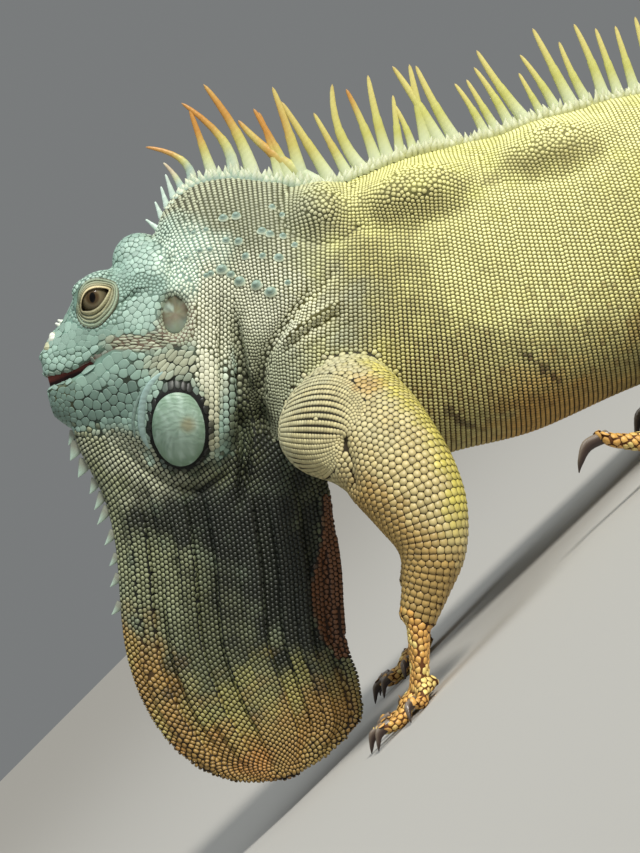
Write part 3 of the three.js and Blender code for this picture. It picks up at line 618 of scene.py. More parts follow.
# ---------------------------------------------------------------- the skin
def skull_piece():
    """The skull with its mouth cut open by a flat wedge."""
    skull = tube("skull", rings_of(HEAD_ROWS, steps=60, sides=64, grow=-COAT, tip=12))
    outline = [(s, high) for s, high, _ in reversed(MOUTH)] + [(s, low) for s, _, low in MOUTH]
    deselect()
    bpy.ops.mesh.primitive_circle_add(vertices=len(outline), radius=1, fill_type="NGON")
    wedge = bpy.context.active_object
    for vertex, (s, h) in zip(wedge.data.vertices, outline):
        vertex.co = Vector(on_head(s, h, -60)) * MM
    bpy.ops.object.mode_set(mode="EDIT")
    bpy.ops.mesh.select_all(action="SELECT")
    bpy.ops.mesh.extrude_region_move(TRANSFORM_OT_translate={"value": (0, 120 * MM, 0)})
    bpy.ops.mesh.select_all(action="SELECT")
    bpy.ops.mesh.normals_make_consistent(inside=False)
    bpy.ops.object.mode_set(mode="OBJECT")
    apply(skull, "BOOLEAN", operation="DIFFERENCE", object=wedge, solver="EXACT")
    bpy.data.objects.remove(wedge)
    return skull


def head_lumps():
    made = [lump("crown", on_head(-27, 38.5), (15, 11, 16), HEAD_PITCH)]
    for side in SIDES.values():
        made += [
            lump("brow", on_head(1, 37.3, side * 12), (12, 4.6, 4.4), HEAD_PITCH - 0.15),
            lump("nostril_rim", on_head(37.6, 9.8, side * 5), (3.8, 3.2, 3.8)),
            lump("orbit", on_head(EYE["s"], EYE["h"] - 1, side * 11), (13, 9, 11), HEAD_PITCH),
            lump("jowl", on_head(-20, -36, side * 14), (24, 21, 34), HEAD_PITCH),
        ]
    return made


def flesh_pieces():
    made = [skull_piece(), *head_lumps()]
    made.append(tube("trunk", rings_of(CHAIN, steps=170, sides=64, grow=-COAT, tip=2, heel=14)))
    made.append(tube("throat", rings_of(DEWLAP_ROWS, steps=60, sides=40, grow=-COAT, tip=2)))
    for name, rows in FLESH.items():
        ends = {"heel": 2, "tip": 4} if "toe" in name else {"heel": 4, "tip": 4}
        made.append(tube(name, rings_of(rows, steps=24, sides=24, grow=-COAT, **ends)))
    return made


def in_section(points, centre, radii, turn=0.0):
    """How far from a centre (X, Z) places lie in the side view, 1 on the rim of an ellipse."""
    x, z = points[:, 0] - centre[0], points[:, 2] - centre[1]
    along = x * math.cos(turn) + z * math.sin(turn)
    across = z * math.cos(turn) - x * math.sin(turn)
    return np.hypot(along / radii[0], across / radii[1])


def from_line(points, line):
    """Distance in the side view from a line of (X, Z) places, and 1 along it but 0 at its ends."""
    flat, line = points[:, [0, 2]], np.array(line, float)
    run = run_of(line)
    best, spot = np.full(len(points), 1e9), np.zeros(len(points))
    for start, end, passed in zip(line[:-1], line[1:], run):
        way = end - start
        share = np.clip((flat - start) @ way / (way @ way), 0, 1)
        distance = np.linalg.norm(flat - start - share[:, None] * way, axis=1)
        spot = np.where(distance < best, passed + share * np.linalg.norm(way), spot)
        best = np.minimum(best, distance)
    spot = spot / run[-1]
    return best, smooth(0, 0.2, spot) * smooth(1, 0.8, spot)


# Swellings under the crest and on the neck: middle in the frame, half lengths, turn in degrees, height.
SWELLINGS = [
    ((322, 205), (17, 15), 5, 8.0), ((416, 188), (31, 15), 16, 8.5), ((552, 144), (30, 14), 16, 7.5),
    ((262, 256), (12, 26), 10, 2.0),
]
SWELLING_DEPTH = -36
PLEATS = {"first": 0.32, "apart": 0.225, "deep": 2.3}  # ridges across the dewlap, as shares of its width


def in_spot(points, spot, grow=1.0):
    """How far places lie from the middle of an ear or a shield in the side view, 1 on its rim."""
    x, _, z = on_head(spot["s"], spot["h"])
    radii = (spot["wide"] * grow, spot["long"] * grow)
    return in_section(points, (x, z), radii, -(HEAD_PITCH + math.radians(spot["tilt"])))


def behind_flap(points):
    """How far places lie behind the folded rear edge of the dewlap, in the side view."""
    line = np.array(FLAP[::-1])
    high, along = (points[:, 0] + points[:, 2]) * ROOT_HALF, (points[:, 0] - points[:, 2]) * ROOT_HALF
    line_high, line_along = (line[:, 0] + line[:, 1]) * ROOT_HALF, (line[:, 0] - line[:, 1]) * ROOT_HALF
    inside = smooth(line_high[0] - 2, line_high[0] + 3, high)
    inside = inside * smooth(line_high[-1] + 3, line_high[-1] - 3, high)
    return np.where(inside > 0.01, along - np.interp(high, line_high, line_along), -20.0)


def sculpt(piece, finder):
    """Folds, swellings, pleats, ear pits, grooves round the cheek shields, eye sockets and the lip of the
    dewlap's folded edge.
    """
    points, normals = points_of(piece), normals_of(piece)
    part, at, turn = finder.find(points)
    names = PART_NAMES[part]
    move = np.zeros(len(points))
    side = np.abs(points[:, 1])
    upper = np.isin(names, ("skull", "dewlap")) | ((names == "chain") & (at < 11))
    front = upper & ~((names == "chain") & (at > 7))
    arm = of_kind(names, "arm") & (at < 3.4)
    for name, (place, width, deep, pixels) in FOLDS.items():
        distance, fade = from_line(points, seen_line(place, *pixels))
        where = arm if name == "crease of the arm" else front
        move -= deep * fade * np.exp(-((distance / width) ** 2)) * smooth(4, 12, side) * where
    for middle, radii, turned, height in SWELLINGS:
        distance = in_section(points, seen(*middle, SWELLING_DEPTH), radii, math.radians(turned) - ROLL)
        round_edge = np.exp(-(((distance - 1.3) / 0.16) ** 2))
        swell = height * (smooth(1.2, 0.2, distance) - 0.16 * round_edge)
        move += swell * smooth(3, 12, side) * smooth(62, 56, side) * upper
    for spot, depth, grow in ((EAR, 5.4, 1.0), (SHIELD, 1.3, 1.1)):
        distance = in_spot(points, spot, grow)
        if spot is EAR:
            move -= depth * smooth(1.15, 0.75, distance) * smooth(10, 20, side)
            move += 0.9 * np.exp(-(((distance - 1.4) / 0.25) ** 2)) * smooth(10, 20, side)
        else:
            move -= depth * np.exp(-(((distance - 1.12) / 0.12) ** 2)) * smooth(10, 20, side)
    eye_x, _, eye_z = on_head(EYE["s"], EYE["h"])
    move -= 5 * smooth(1.0, 0.7, in_section(points, (eye_x, eye_z), (11.5, 8.5), -0.35)) * smooth(8, 14, side)
    points += normals * move[:, None]
    sheet = names == "dewlap"
    share = 0.5 - 0.5 * np.cos(turn * 2 * math.pi)
    wave = np.cos((share - PLEATS["first"]) * 2 * math.pi / PLEATS["apart"] + 0.5 * wobble(points, 60, 7))
    window = smooth(0.8, 3.5, at) * smooth(11.5, 8.5, at) * smooth(0.02, 0.12, share) * smooth(1, 0.9, share)
    points[:, 1] -= PLEATS["deep"] * wave * window * sheet
    flap = behind_flap(points)
    lip = np.exp(-((flap / 1.6) ** 2)) * 1.6 - smooth(1, 4, flap) * 1.2
    points[:, 1] += np.sign(points[:, 1]) * lip * sheet * smooth(1, 2, side)
    points[:, 2] = np.maximum(points[:, 2], COAT * 0.6)
    set_points(piece, points)


def thin_mesh(piece, chosen, wanted):
    """Collapses the chosen part of the mesh to about the wanted count of triangles."""
    corners = np.array([len(face.vertices) - 2 for face in piece.data.polygons])
    centres = np.empty(len(piece.data.polygons) * 3)
    piece.data.polygons.foreach_get("center", centres)
    picked = chosen(centres.reshape(-1, 3) / MM)
    pick(piece, "FACE", piece.data.polygons, picked)
    bpy.ops.mesh.decimate(ratio=min(1.0, wanted / corners[picked].sum()))
    bpy.ops.object.mode_set(mode="OBJECT")


def pick(piece, kind, parts, picked):
    """Opens a piece for editing with only the picked vertices or faces selected."""
    choose(piece)
    bpy.ops.object.mode_set(mode="EDIT")
    bpy.ops.mesh.select_mode(type=kind)
    bpy.ops.mesh.select_all(action="DESELECT")
    bpy.ops.object.mode_set(mode="OBJECT")
    parts.foreach_set("select", picked)
    bpy.ops.object.mode_set(mode="EDIT")


def keep_outer_shell(piece):
    """Deletes the closed bubbles that the remesh leaves between the joined pieces."""
    forward = points_of(piece)[:, 0]
    pick(piece, "VERT", piece.data.vertices, forward == forward.min())
    bpy.ops.mesh.select_linked()
    bpy.ops.mesh.select_all(action="INVERT")
    bpy.ops.mesh.delete(type="VERT")
    bpy.ops.object.mode_set(mode="OBJECT")


def make_skin(finder):
    skin = join("skin", flesh_pieces())
    apply(skin, "REMESH", mode="VOXEL", voxel_size=VOXEL * MM, use_smooth_shade=True)
    keep_outer_shell(skin)
    relax(skin, 6, 0.6)
    thin_mesh(skin, lambda centres: centres[:, 0] > FRONT_END, REST_FACES)
    sculpt(skin, finder)
    relax(skin, 1, 0.4)
    thin_mesh(skin, lambda centres: centres[:, 0] <= FRONT_END, FRONT_FACES)
    return skin


# ---------------------------------------------------------------- places on the skin
def loft_grid():
    """Even samples of every part: place, part, fractional row and turn."""
    found = []
    for index, (name, rows) in enumerate(PARTS.items()):
        last = len(rows) - 1
        fine = 40 if name in ("chain", "skull", "dewlap") else 24
        steps = {"chain": 400, "skull": 60, "dewlap": 90}.get(name, 40)
        at, turn = np.meshgrid(np.linspace(0, last, steps), np.linspace(0, 1, fine, endpoint=False),
                               indexing="ij")
        at, turn = at.ravel(), turn.ravel()
        found.append((surface(rows, at, turn * 2 * math.pi), np.full(len(at), index), at, turn))
    return [np.concatenate(values) for values in zip(*found)]


def tree_of(points):
    tree = KDTree(len(points))
    for index, point in enumerate(points):
        tree.insert(point, index)
    tree.balance()
    return tree


class Places:
    """Finds the part of the body, the row and the turn of any place."""

    def __init__(self):
        points, self.part, self.at, self.turn = loft_grid()
        self.tree = tree_of(points)

    def find(self, points):
        found = np.array([self.tree.find(point)[1] for point in points], np.int64)
        return self.part[found], self.at[found], self.turn[found]


# ---------------------------------------------------------------- seeds of the scales
def lattice(rows, low, high, along, around):
    """Staggered rows of scales over a tube: fractional rows and turns."""
    at = np.linspace(low, high, 1500)
    side = surface(rows, at, np.full(len(at), math.pi / 2))
    run = run_of(side)
    rings = np.interp(np.arange(round(run[-1] / along)) * run[-1] / round(run[-1] / along), run, at)
    turns = np.linspace(0, 2 * math.pi, 241)
    found = []
    for index, ring in enumerate(rings):
        edge = surface(rows, np.full(len(turns), ring), turns)
        length = run_of(edge)
        count = max(5, round(length[-1] / around / 2) * 2)
        spots = (np.arange(count) + 0.5 * (index % 2)) / count * length[-1]
        turn = np.interp(spots, length, turns)
        found.append(np.stack([np.full(count, ring), turn], 1))
    return np.concatenate(found)


def fan(rows, low, high, along, around):
    """Files of scales that spread and close with the tube, staggered row by row."""
    turns, at = np.linspace(0, 2 * math.pi, 721), np.linspace(low, high, 400)
    middle = run_of(surface(rows, np.full(721, (low + high) / 2), turns))
    count = round(middle[-1] / around / 2) * 2
    run = run_of(surface(rows, at, np.full(400, math.pi / 2)))
    found = []
    for index, turn in enumerate(np.interp((np.arange(count) + 0.5) * middle[-1] / count, middle, turns)):
        spots = np.interp(np.arange(0.5 * (index % 2) * along, run[-1], along), run, at)
        found.append(np.stack([spots, np.full(len(spots), turn)], 1))
    return np.concatenate(found)


# Scales in rows: part, way of laying, low and high row, pitch along the part, pitch around it.
LATTICES = [
    ("chain", lattice, 0.8, 4.0, 2.0, 1.85),
    ("chain", lattice, 4.0, 13.2, 2.45, 2.0),
    ("chain", lattice, 13.2, CHAIN_LAST - 0.1, 4.6, 3.7),
    ("dewlap", fan, 0.5, 11.7, 2.8, 2.2),
    ("arm", lattice, 1.5, 2.75, 2.9, 3.5),
    ("arm", lattice, 2.75, 7.0, 3.4, 4.0),
    ("leg", lattice, 0.6, 7.0, 4.2, 4.3),
    ("hand_toe", lattice, 0.4, 4, 3.0, 4.2),
    ("foot_toe", lattice, 0.4, 4, 3.4, 4.4),
]
# Rows of large smooth scales along the lips: places, pitch, stretch.
LIP_ROWS = [(UPPER_LABIALS, 4.9, 1.2), (UPPER_BAND, 3.2, 1.5), (LOWER_LABIALS, 4.3, 1.35),
            (LOWER_BAND, 4.2, 1.3)]
# Files of scales that run down the jowl, in the frame: first and last corner, pitch across and along.
JOWL_FILES = [
    ((202, 352), (224, 456), 4.8, 6.0), ((225, 362), (241, 452), 7.0, 7.4),
    ((199, 270), (233, 352), 3.7, 4.8),
]
JOWL_DEPTH = -31
# Curved rows on the ball of the shoulder, in the frame: where they run together at its front and in the
# armpit, how far the upper rows reach beyond, half the ball's height; then the turn between two rows in
# radians, the pitch along a row and the size and stretch of a scale in millimetres.
BALL = {"front": (268, 434), "armpit": (342, 437), "beyond": (24, -26), "half": 51, "apart": 0.108,
        "along": 2.1, "size": 1.75, "stretch": 1.3}
BALL_DEPTH = -85


def one_seed(place, normal, pitch, stretch, way):
    return (*(np.array([value]) for value in (place, normal, pitch, stretch)), np.array([way], float))


def jowl_seeds(skin_surface):
    found = []
    way = (-ROOT_HALF, 0, -ROOT_HALF)
    for (left, top), (right, bottom), across, along in JOWL_FILES:
        pitch = math.sqrt(across * along) * PIXEL
        for number, x in enumerate(np.arange(left, right, across)):
            for y in np.arange(top + 0.5 * along * (number % 2), bottom, along):
                flat_x, flat_z = seen(x, y, JOWL_DEPTH)
                for side in SIDES.values():
                    place, normal = skin_surface.from_side(flat_x, flat_z, side)
                    if place is not None and normal.y * side > 0.3:
                        found.append(one_seed(place, normal, pitch, along / across, way))
    return found


def ball_row(skin_surface, height, side):
    """One curved row: the places on the skin under a meridian of the ball, from its front to the armpit."""
    front, rear = np.array(BALL["front"], float), np.array(BALL["armpit"], float)
    rear += np.array(BALL["beyond"]) * max(height, 0)
    turn = np.linspace(0, math.pi, 60)[:, None]
    curve = (front + rear) / 2 - np.cos(turn) * (rear - front) / 2 - np.sin(turn) * (0, BALL["half"] * height)
    shift = FAR_SHIFT["arm"] * (side > 0)
    hits = [skin_surface.from_side(x + shift, z, side)[0] for x, z in zip(*seen(*curve.T, BALL_DEPTH))]
    return np.array([hit for hit in hits if hit is not None and side * hit.y > 45])


def ball_seeds(skin_surface):
    found = []
    for side in SIDES.values():
        for number, height in enumerate(np.sin(np.arange(-1.2, 1.25, BALL["apart"]))):
            line = ball_row(skin_surface, height, side)
            run = run_of(line)
            spots = np.arange(BALL["along"] * (0.5 + 0.5 * (number % 2)), run[-1], BALL["along"])
            seeds, ahead = (np.stack([np.interp(at, run, line[:, axis]) for axis in range(3)], 1)
                            for at in (spots, spots + 0.3))
            places, normals, _ = skin_surface.drop(seeds)
            count = len(places)
            found.append((places, normals, np.full(count, BALL["size"]), np.full(count, BALL["stretch"]),
                          unit(ahead - seeds + 1e-6)))
    return found


def on_ball(places, normals):
    """True on the outer side of the shoulders' balls."""
    side = np.sign(places[:, 1])
    moved = places - np.outer(FAR_SHIFT["arm"] * (side > 0), (1, 0, 0))
    middle, radii = seen(311, 432, BALL_DEPTH), (34 * PIXEL, 50 * PIXEL)
    return (in_section(moved, middle, radii, -ROLL) < 1) & (normals[:, 1] * side > 0)


def drop_on_sheet(skin_surface, seeds, outward):
    """Moves places sideways on to the pleats of the dewlap, where they face the side."""
    places, normals, far = skin_surface.drop(seeds)
    sideways = np.abs(unit(outward)[:, 1]) > 0.6
    for index in np.flatnonzero(sideways):
        side = math.copysign(1, outward[index, 1])
        start = seeds[index] + (0, side * 7, 0)
        place, _, _, _ = skin_surface.tree.ray_cast(start, (0, -side, 0), 14)
        if place is not None:
            places[index] = place
    _, normals, _ = skin_surface.drop(places)
    return places, normals, far


def row_seeds(skin_surface, finder):
    """Scales that stand in rows: places, normals, pitch, stretch and the way they point."""
    found = jowl_seeds(skin_surface) + ball_seeds(skin_surface)
    for kind, lay, low, high, along, around in LATTICES:
        for name, rows in PARTS.items():
            if name != kind and not (name.startswith(kind + "_") and ("toe" in name) == ("toe" in kind)):
                continue
            spots = lay(rows, low, min(high, len(rows) - 1), along, around)
            seeds = surface(rows, spots[:, 0], spots[:, 1], grow=-COAT)
            outward = surface(rows, spots[:, 0], spots[:, 1], grow=3) - seeds
            if kind == "dewlap":
                places, normals, far = drop_on_sheet(skin_surface, seeds, outward)
            else:
                places, normals, far = skin_surface.drop(seeds)
            good = (far < (6.5 if kind == "chain" else 4)) & ((unit(outward) * normals).sum(1) > 0.45)
            if kind == "chain":
                good &= PART_NAMES[finder.find(places)[0]] == "chain"
            if kind == "arm":
                good &= ~on_ball(places, normals)
            way = frame_at(rows, spots[:, 0])[1]
            wide = np.full(good.sum(), math.sqrt(along * around))
            found.append((places[good], normals[good], wide, np.ones(good.sum()), way[good]))
    lips = []
    for side in SIDES.values():
        for line, pitch, stretch in LIP_ROWS:
            for index, (x, z) in enumerate(line):
                place, normal = skin_surface.from_side(x, z, side)
                after, before = line[min(index + 1, len(line) - 1)], line[max(index - 1, 0)]
                way = unit(np.array([after[0] - before[0], 0, after[1] - before[1]], float))
                lips.append(one_seed(place, normal, pitch, stretch, way))
    return [np.concatenate(values) for values in zip(*lips, *found)]


def region_shares(points, *groups):
    """The regions of some groups, each with its share from 0 to 1 at the places."""
    rough = wobble(points, 11, 4)
    for group in groups:
        depth, ragged, end, start = REGION_GROUPS[group]
        for _, middle, radii, turn, *rest in REGIONS[group]:
            radii = [radius * PIXEL for radius in radii]
            distance = in_section(points, seen(*middle, depth), radii, math.radians(turn) - ROLL)
            yield rest, smooth(end, start, distance + ragged * rough)


def texture_at(points, part, at):
    """Pitch, stretch, way and relief of the scales that don't stand in rows."""
    s, h = head_place(points)
    names = PART_NAMES[part]
    pitch = np.full(len(points), 2.2)
    relief = np.ones(len(points))
    pitch[names == "dewlap"] = 2.6
    for kind, size in (("hand", 3.2), ("foot", 3.4), ("leg", 4.0), ("arm", 4.0)):
        pitch[of_kind(names, kind)] = size
    pitch[of_kind(names, "arm") & (at < 1.9)] = 3.0
    head = names == "skull"
    pitch[head] = 3.2
    relief[head] = 0.6
    stretch = np.ones(len(points))
    angle = np.zeros(len(points))
    near_head = head | ((names == "chain") & (at < 5)) | ((names == "dewlap") & (at < 2.5))
    for (_, _, size, longer, way, height), share in region_shares(points, "head", "neck"):
        mask = (share > 0.5) & near_head
        pitch[mask], stretch[mask], relief[mask] = size, longer, height
        angle[mask] = math.radians(way) - ROLL
    lids = head & (np.hypot(s - EYE["s"], h - EYE["h"]) < 17) & (np.abs(points[:, 1]) > 8)
    pitch[lids], stretch[lids], relief[lids] = 2.0, 1, 0.6
    return pitch, stretch, np.stack([np.cos(angle), 0 * angle, np.sin(angle)], 1), relief


def bare(points):
    """Where no scale grows: ears, cheek shields, eyelids and inside the mouth."""
    s, h = head_place(points)
    side = np.abs(points[:, 1])
    eye_x, _, eye_z = on_head(EYE["s"], EYE["h"])
    found = (in_section(points, (eye_x, eye_z - 1.5), (13.4, 11.6), -0.35) < 1) & (side > 12)
    for spot, grow in ((EAR, 0.9), (SHIELD, 1.12)):
        found |= (in_spot(points, spot, grow) < 1) & (side > 12)
    forward, upper, lower = np.array(MOUTH).T
    inside = (h < np.interp(s, forward, upper) - 0.1) & (h > np.interp(s, forward, lower) + 0.1)
    return found | (s > 1) & inside


class SkinSurface:
    """The finished skin as a surface that places are dropped on."""

    def __init__(self, piece):
        mesh = piece.data
        self.points, self.normals = points_of(piece), normals_of(piece)
        mesh.calc_loop_triangles()
        corners = np.empty(len(mesh.loop_triangles) * 3, np.int32)
        mesh.loop_triangles.foreach_get("vertices", corners)
        self.triangles = corners.reshape(-1, 3)
        self.tree = BVHTree.FromPolygons(self.points.tolist(), self.triangles.tolist())

    def from_side(self, x, z, side):
        """The place and normal that show at X and Z from one side of the animal, or two Nones."""
        return self.tree.ray_cast((x, side * FAR_OUT, z), (0, -side, 0))[:2]

    def drop(self, points):
        """Nearest places on the skin, their smooth normals and how far they were."""
        places, faces = np.empty((len(points), 3)), np.empty(len(points), np.int64)
        far = np.empty(len(points))
        for index, point in enumerate(points):
            place, _, face, distance = self.tree.find_nearest(point)
            places[index], faces[index], far[index] = place, face, distance
        corners = self.triangles[faces]
        weights = 1 / (np.linalg.norm(self.points[corners] - places[:, None], axis=2) + 0.05)
        normals = unit((self.normals[corners] * weights[:, :, None]).sum(1))
        return places, normals, far

    def scatter(self, count, density):
        """Random places, more of them where the density is high."""
        a, b, c = (self.points[self.triangles[:, corner]] for corner in range(3))
        area = np.linalg.norm(np.cross(b - a, c - a), axis=1) * density
        face = np.searchsorted(np.cumsum(area) / area.sum(), random.random(count))
        u, v = random.random(count), random.random(count)
        flip = u + v > 1
        u[flip], v[flip] = 1 - u[flip], 1 - v[flip]
        return a[face] + (b - a)[face] * u[:, None] + (c - a)[face] * v[:, None]


def thin_out(points, pitch, stretch, ways, before, before_pitch, share):
    """Goes through the places in turn and picks those far enough from all before them."""
    cell = 2.6
    grid = {}

    def note(point, size):
        grid.setdefault(tuple((point // cell).astype(int)), []).append((*point, size))

    def crowded(point, size, longer, way):
        reach = math.ceil(size * longer / cell)
        i, j, k = (point // cell).astype(int)
        x, y, z = point
        steps = range(-reach, reach + 1)
        for di in steps:
            for dj in steps:
                for dk in steps:
                    for px, py, pz, other in grid.get((i + di, j + dj, k + dk), ()):
                        limit = share * 0.5 * (size + other)
                        dx, dy, dz = px - x, py - y, pz - z
                        squared = dx * dx + dy * dy + dz * dz
                        if longer != 1:
                            along = dx * way[0] + dy * way[1] + dz * way[2]
                            squared -= along * along * (1 - 1 / (longer * longer))
                        if squared < limit * limit:
                            return True
        return False

    for point, size in zip(before, before_pitch):
        note(point, size)
    chosen = []
    for index, (point, size, longer, way) in enumerate(zip(points, pitch, stretch, ways.tolist())):
        if not crowded(point, size, longer, way):
            chosen.append(index)
            note(point, size)
    return np.array(chosen, np.int64)


def nearest(points, count):
    """Indexes of each place's nearest neighbours."""
    tree = tree_of(points)
    return np.array([[spot[1] for spot in tree.find_n(point, count + 1)][1:] for point in points], np.int64)


def settle(points, normals, pitch, mobility, surface_of_skin):
    """Neighbouring seeds push each other to their pitch, and stay on the skin."""
    for _ in range(SETTLE_ROUNDS):
        near = nearest(points, SETTLE_NEIGHBOURS)
        away = points[:, None] - points[near]
        distance = np.linalg.norm(away, axis=2) + 1e-6
        wanted = 0.5 * (pitch[:, None] + pitch[near]) * 1.02
        facing = (normals[near] * normals[:, None]).sum(2) > 0.1
        push = np.clip(1 - distance / wanted, 0, 0.6)[..., None] * away
        push = push / distance[..., None] * wanted[..., None]
        push *= facing[..., None]
        move = push.sum(1) * 0.45 * mobility[:, None]
        move -= normals * (move * normals).sum(1, keepdims=True)
        points, normals, _ = surface_of_skin.drop(points + move)
    return points, normals


class Scales:
    """All scales: their places, normals, pitch, stretch, way and relief."""

    def __init__(self, *columns):
        self.place, self.normal, self.pitch, self.stretch, self.way, self.relief = columns


def only(columns, chosen):
    """The chosen rows of some columns."""
    return [values[chosen] for values in columns]


def make_seeds(skin_surface, finder):
    """All scales: first those in rows, then loose ones scattered where there is room, all settled."""
    rows = row_seeds(skin_surface, finder)
    rows = only(rows, ~bare(rows[0]))
    rows = only(rows, thin_out(rows[0], *rows[2:], [], [], 0.6))
    middle = skin_surface.points[skin_surface.triangles].mean(1)
    part, at, _ = finder.find(middle)
    size, longer, _, _ = texture_at(middle, part, at)
    density = 1 / (size ** 2 * longer)
    names = PART_NAMES[part]
    rowed = ((names == "dewlap") & (at < 11.5)) | ((names == "chain") & (at > 1))
    rowed |= of_kind(names, "leg", "arm")
    density[rowed] *= 0.45
    loose = skin_surface.scatter(LOOSE_SEEDS, density)
    loose = loose[~bare(loose)]
    part, at, _ = finder.find(loose)
    size, longer, turned, _ = texture_at(loose, part, at)
    columns = [loose, skin_surface.drop(loose)[1], size, longer, turned]
    columns = only(columns, thin_out(loose, size, longer, turned, rows[0], rows[2], 0.8))
    mobility = np.concatenate([np.full(len(rows[0]), 0.12), np.where(columns[3] > 1.3, 0.25, 1.0)])
    place, normal, pitch, stretch, way = (np.concatenate(pair) for pair in zip(rows, columns))
    place, normal = settle(place, normal, pitch, mobility, skin_surface)
    part, at, _ = finder.find(place)
    return Scales(place, normal, pitch, stretch, way, texture_at(place, part, at)[3])


# ---------------------------------------------------------------- markings
def srgb(code):
    """A hex colour as linear values."""
    values = np.array([int(code[start:start + 2], 16) / 255 for start in (1, 3, 5)])
    return np.where(values <= 0.04045, values / 12.92, ((values + 0.055) / 1.055) ** 2.4)


def blend(base, code, share):
    """Lays a paint, or a hex colour, over a colour or a field of colours by a share from 0 to 1."""
    base = srgb(base) if isinstance(base, str) else base
    return base + (srgb(PAINTS.get(code, code)) - base) * np.clip(share, 0, 1)[:, None]


def wobble(points, size, seed):
    """A slow random field from -1 to 1 with spots of about this size."""
    turn = np.random.default_rng(seed)
    value = np.zeros(len(points))
    for _ in range(5):
        way = unit(turn.normal(size=3)) / size * turn.uniform(0.7, 1.5)
        value += np.sin(points @ way * 2 * math.pi + turn.uniform(0, 6.3))
    return value / 2.6


def paint_regions(points, scale, gap, *groups):
    for (top, joint, *_), share in region_shares(points, *groups):
        share = share * 0.92
        scale, gap = blend(scale, top, share), blend(gap, joint, share)
    return scale, gap


def front_markings(points, part_share):
    """Head and neck: part_share is 1 on the head and 0 on the neck."""
    scale = blend("#b4b89a", "#93b0a2", part_share)
    gap = blend("#4b4c38", "#5f7768", part_share)
    scale, gap = paint_regions(points, scale, gap, "head", "neck")
    black = smooth(1.22, 1.16, in_spot(points, SHIELD)) * smooth(10, 18, np.abs(points[:, 1]))
    scale, gap = blend(scale, "#1d1f1a", black), blend(gap, "#0a0b09", black)
    s, h = head_place(points)
    forward, upper, _ = np.array(MOUTH).T
    lips = np.exp(-(((s - 20) / 30) ** 2)) * smooth(0.8, 0.0, np.abs(h - np.interp(s, forward, upper)))
    return blend(scale, "#7c4b40", lips * part_share * 0.6), blend(gap, "#5f2a22", lips * part_share)


def trunk_markings(points, turn):
    # Paler towards the back and darker towards the belly: partly the animal's own colour, partly painted
    # light from above and painted shade below.
    up = 0.5 + 0.5 * np.cos(turn * 2 * math.pi)
    flank, back = smooth(0.15, 0.45, up), smooth(0.4, 0.7, up)
    scale = blend(blend("#a98e4e", "#d6cf82", flank), "#ebe998", back)
    gap = blend(blend("#33220a", "#6a6328", flank), "#918f48", back)
    scale, gap = paint_regions(points, scale, gap, "trunk")
    cloud = smooth(0.3, 1.1, wobble(points, 46, 3)) * smooth(0.85, 0.5, up)
    scale = blend(scale, "hay", cloud * 0.4)
    fleck = smooth(0.5, 1.2, wobble(points, 5, 31)) * smooth(0.72, 0.35, up)
    scale = blend(scale, "bronze", fleck * 0.45)
    ragged = 1.1 * wobble(points, 6, 11)
    for line in STAINS:
        distance, fade = from_line(points, line)
        stain = fade * smooth(2.4, 0.6, distance + ragged) * smooth(20, 34, np.abs(points[:, 1]))
        scale, gap = blend(scale, "#4d3418", stain * 0.8), blend(gap, "#150d05", stain)
    return scale, gap


def tail_markings(points, at):
    band = np.sin((at - TRUNK_LAST) * 2 * math.pi / 1.35 + 0.5 * wobble(points, 60, 5))
    fade = smooth(14.5, 17, at)
    scale = blend("#c4ba78", "#a3a87e", smooth(14, 20, at))
    return blend(scale, "#5f4f30", smooth(0.1, 0.6, band) * fade * 0.85), srgb("#3a2d12")


def dewlap_markings(points, at, turn):
    scale = blend("#626d59", "#958d54", smooth(5, 8, at))
    gap = blend("#161b13", "bark", smooth(6, 8, at))
    for groups in (("head", "neck"), ("dewlap",)):
        scale, gap = paint_regions(points, scale, gap, *groups)
    share = 0.5 - 0.5 * np.cos(turn * 2 * math.pi)
    streak = wobble(np.stack([share * 75, at * 5, 0 * at], 1), 11, 21)
    blotch = wobble(points, 17, 8)
    low = smooth(6.6, 9.6, at + 1.1 * blotch + 0.6 * streak)
    scale, gap = blend(scale, "old gold", low * 0.6), blend(gap, "bark", low * 0.6)
    # Dark streaks and blotches across the middle of the sheet: partly its own markings, partly painted shade.
    dark = smooth(0.35, 1.3, 0.7 * streak + 0.6 * blotch) * smooth(3.5, 5.5, at) * smooth(9.2, 7.0, at)
    scale, gap = blend(scale, "night green", dark * 0.6), blend(gap, "ink", dark * 0.8)
    lemon = smooth(0.2, 1.0, -streak) * smooth(5.0, 6.5, at) * smooth(10, 8, at)
    scale = blend(scale, "#a5a05a", lemon * 0.5)
    rust = smooth(0.0, 1.1, wobble(points, 30, 9)) * smooth(7.6, 9.8, at)
    scale = blend(scale, "amber", rust * 0.6)
    rim = smooth(11.5, 12, at)
    scale, gap = blend(scale, "bronze", rim), blend(gap, "bark", rim)
    # The folded rear edge: the brown of the sheet's far side, darkened by painted shade inside the fold.
    flap = smooth(-0.5, 1.5, behind_flap(points))
    return blend(scale, "#71492c", flap), blend(gap, "#2a1709", flap)


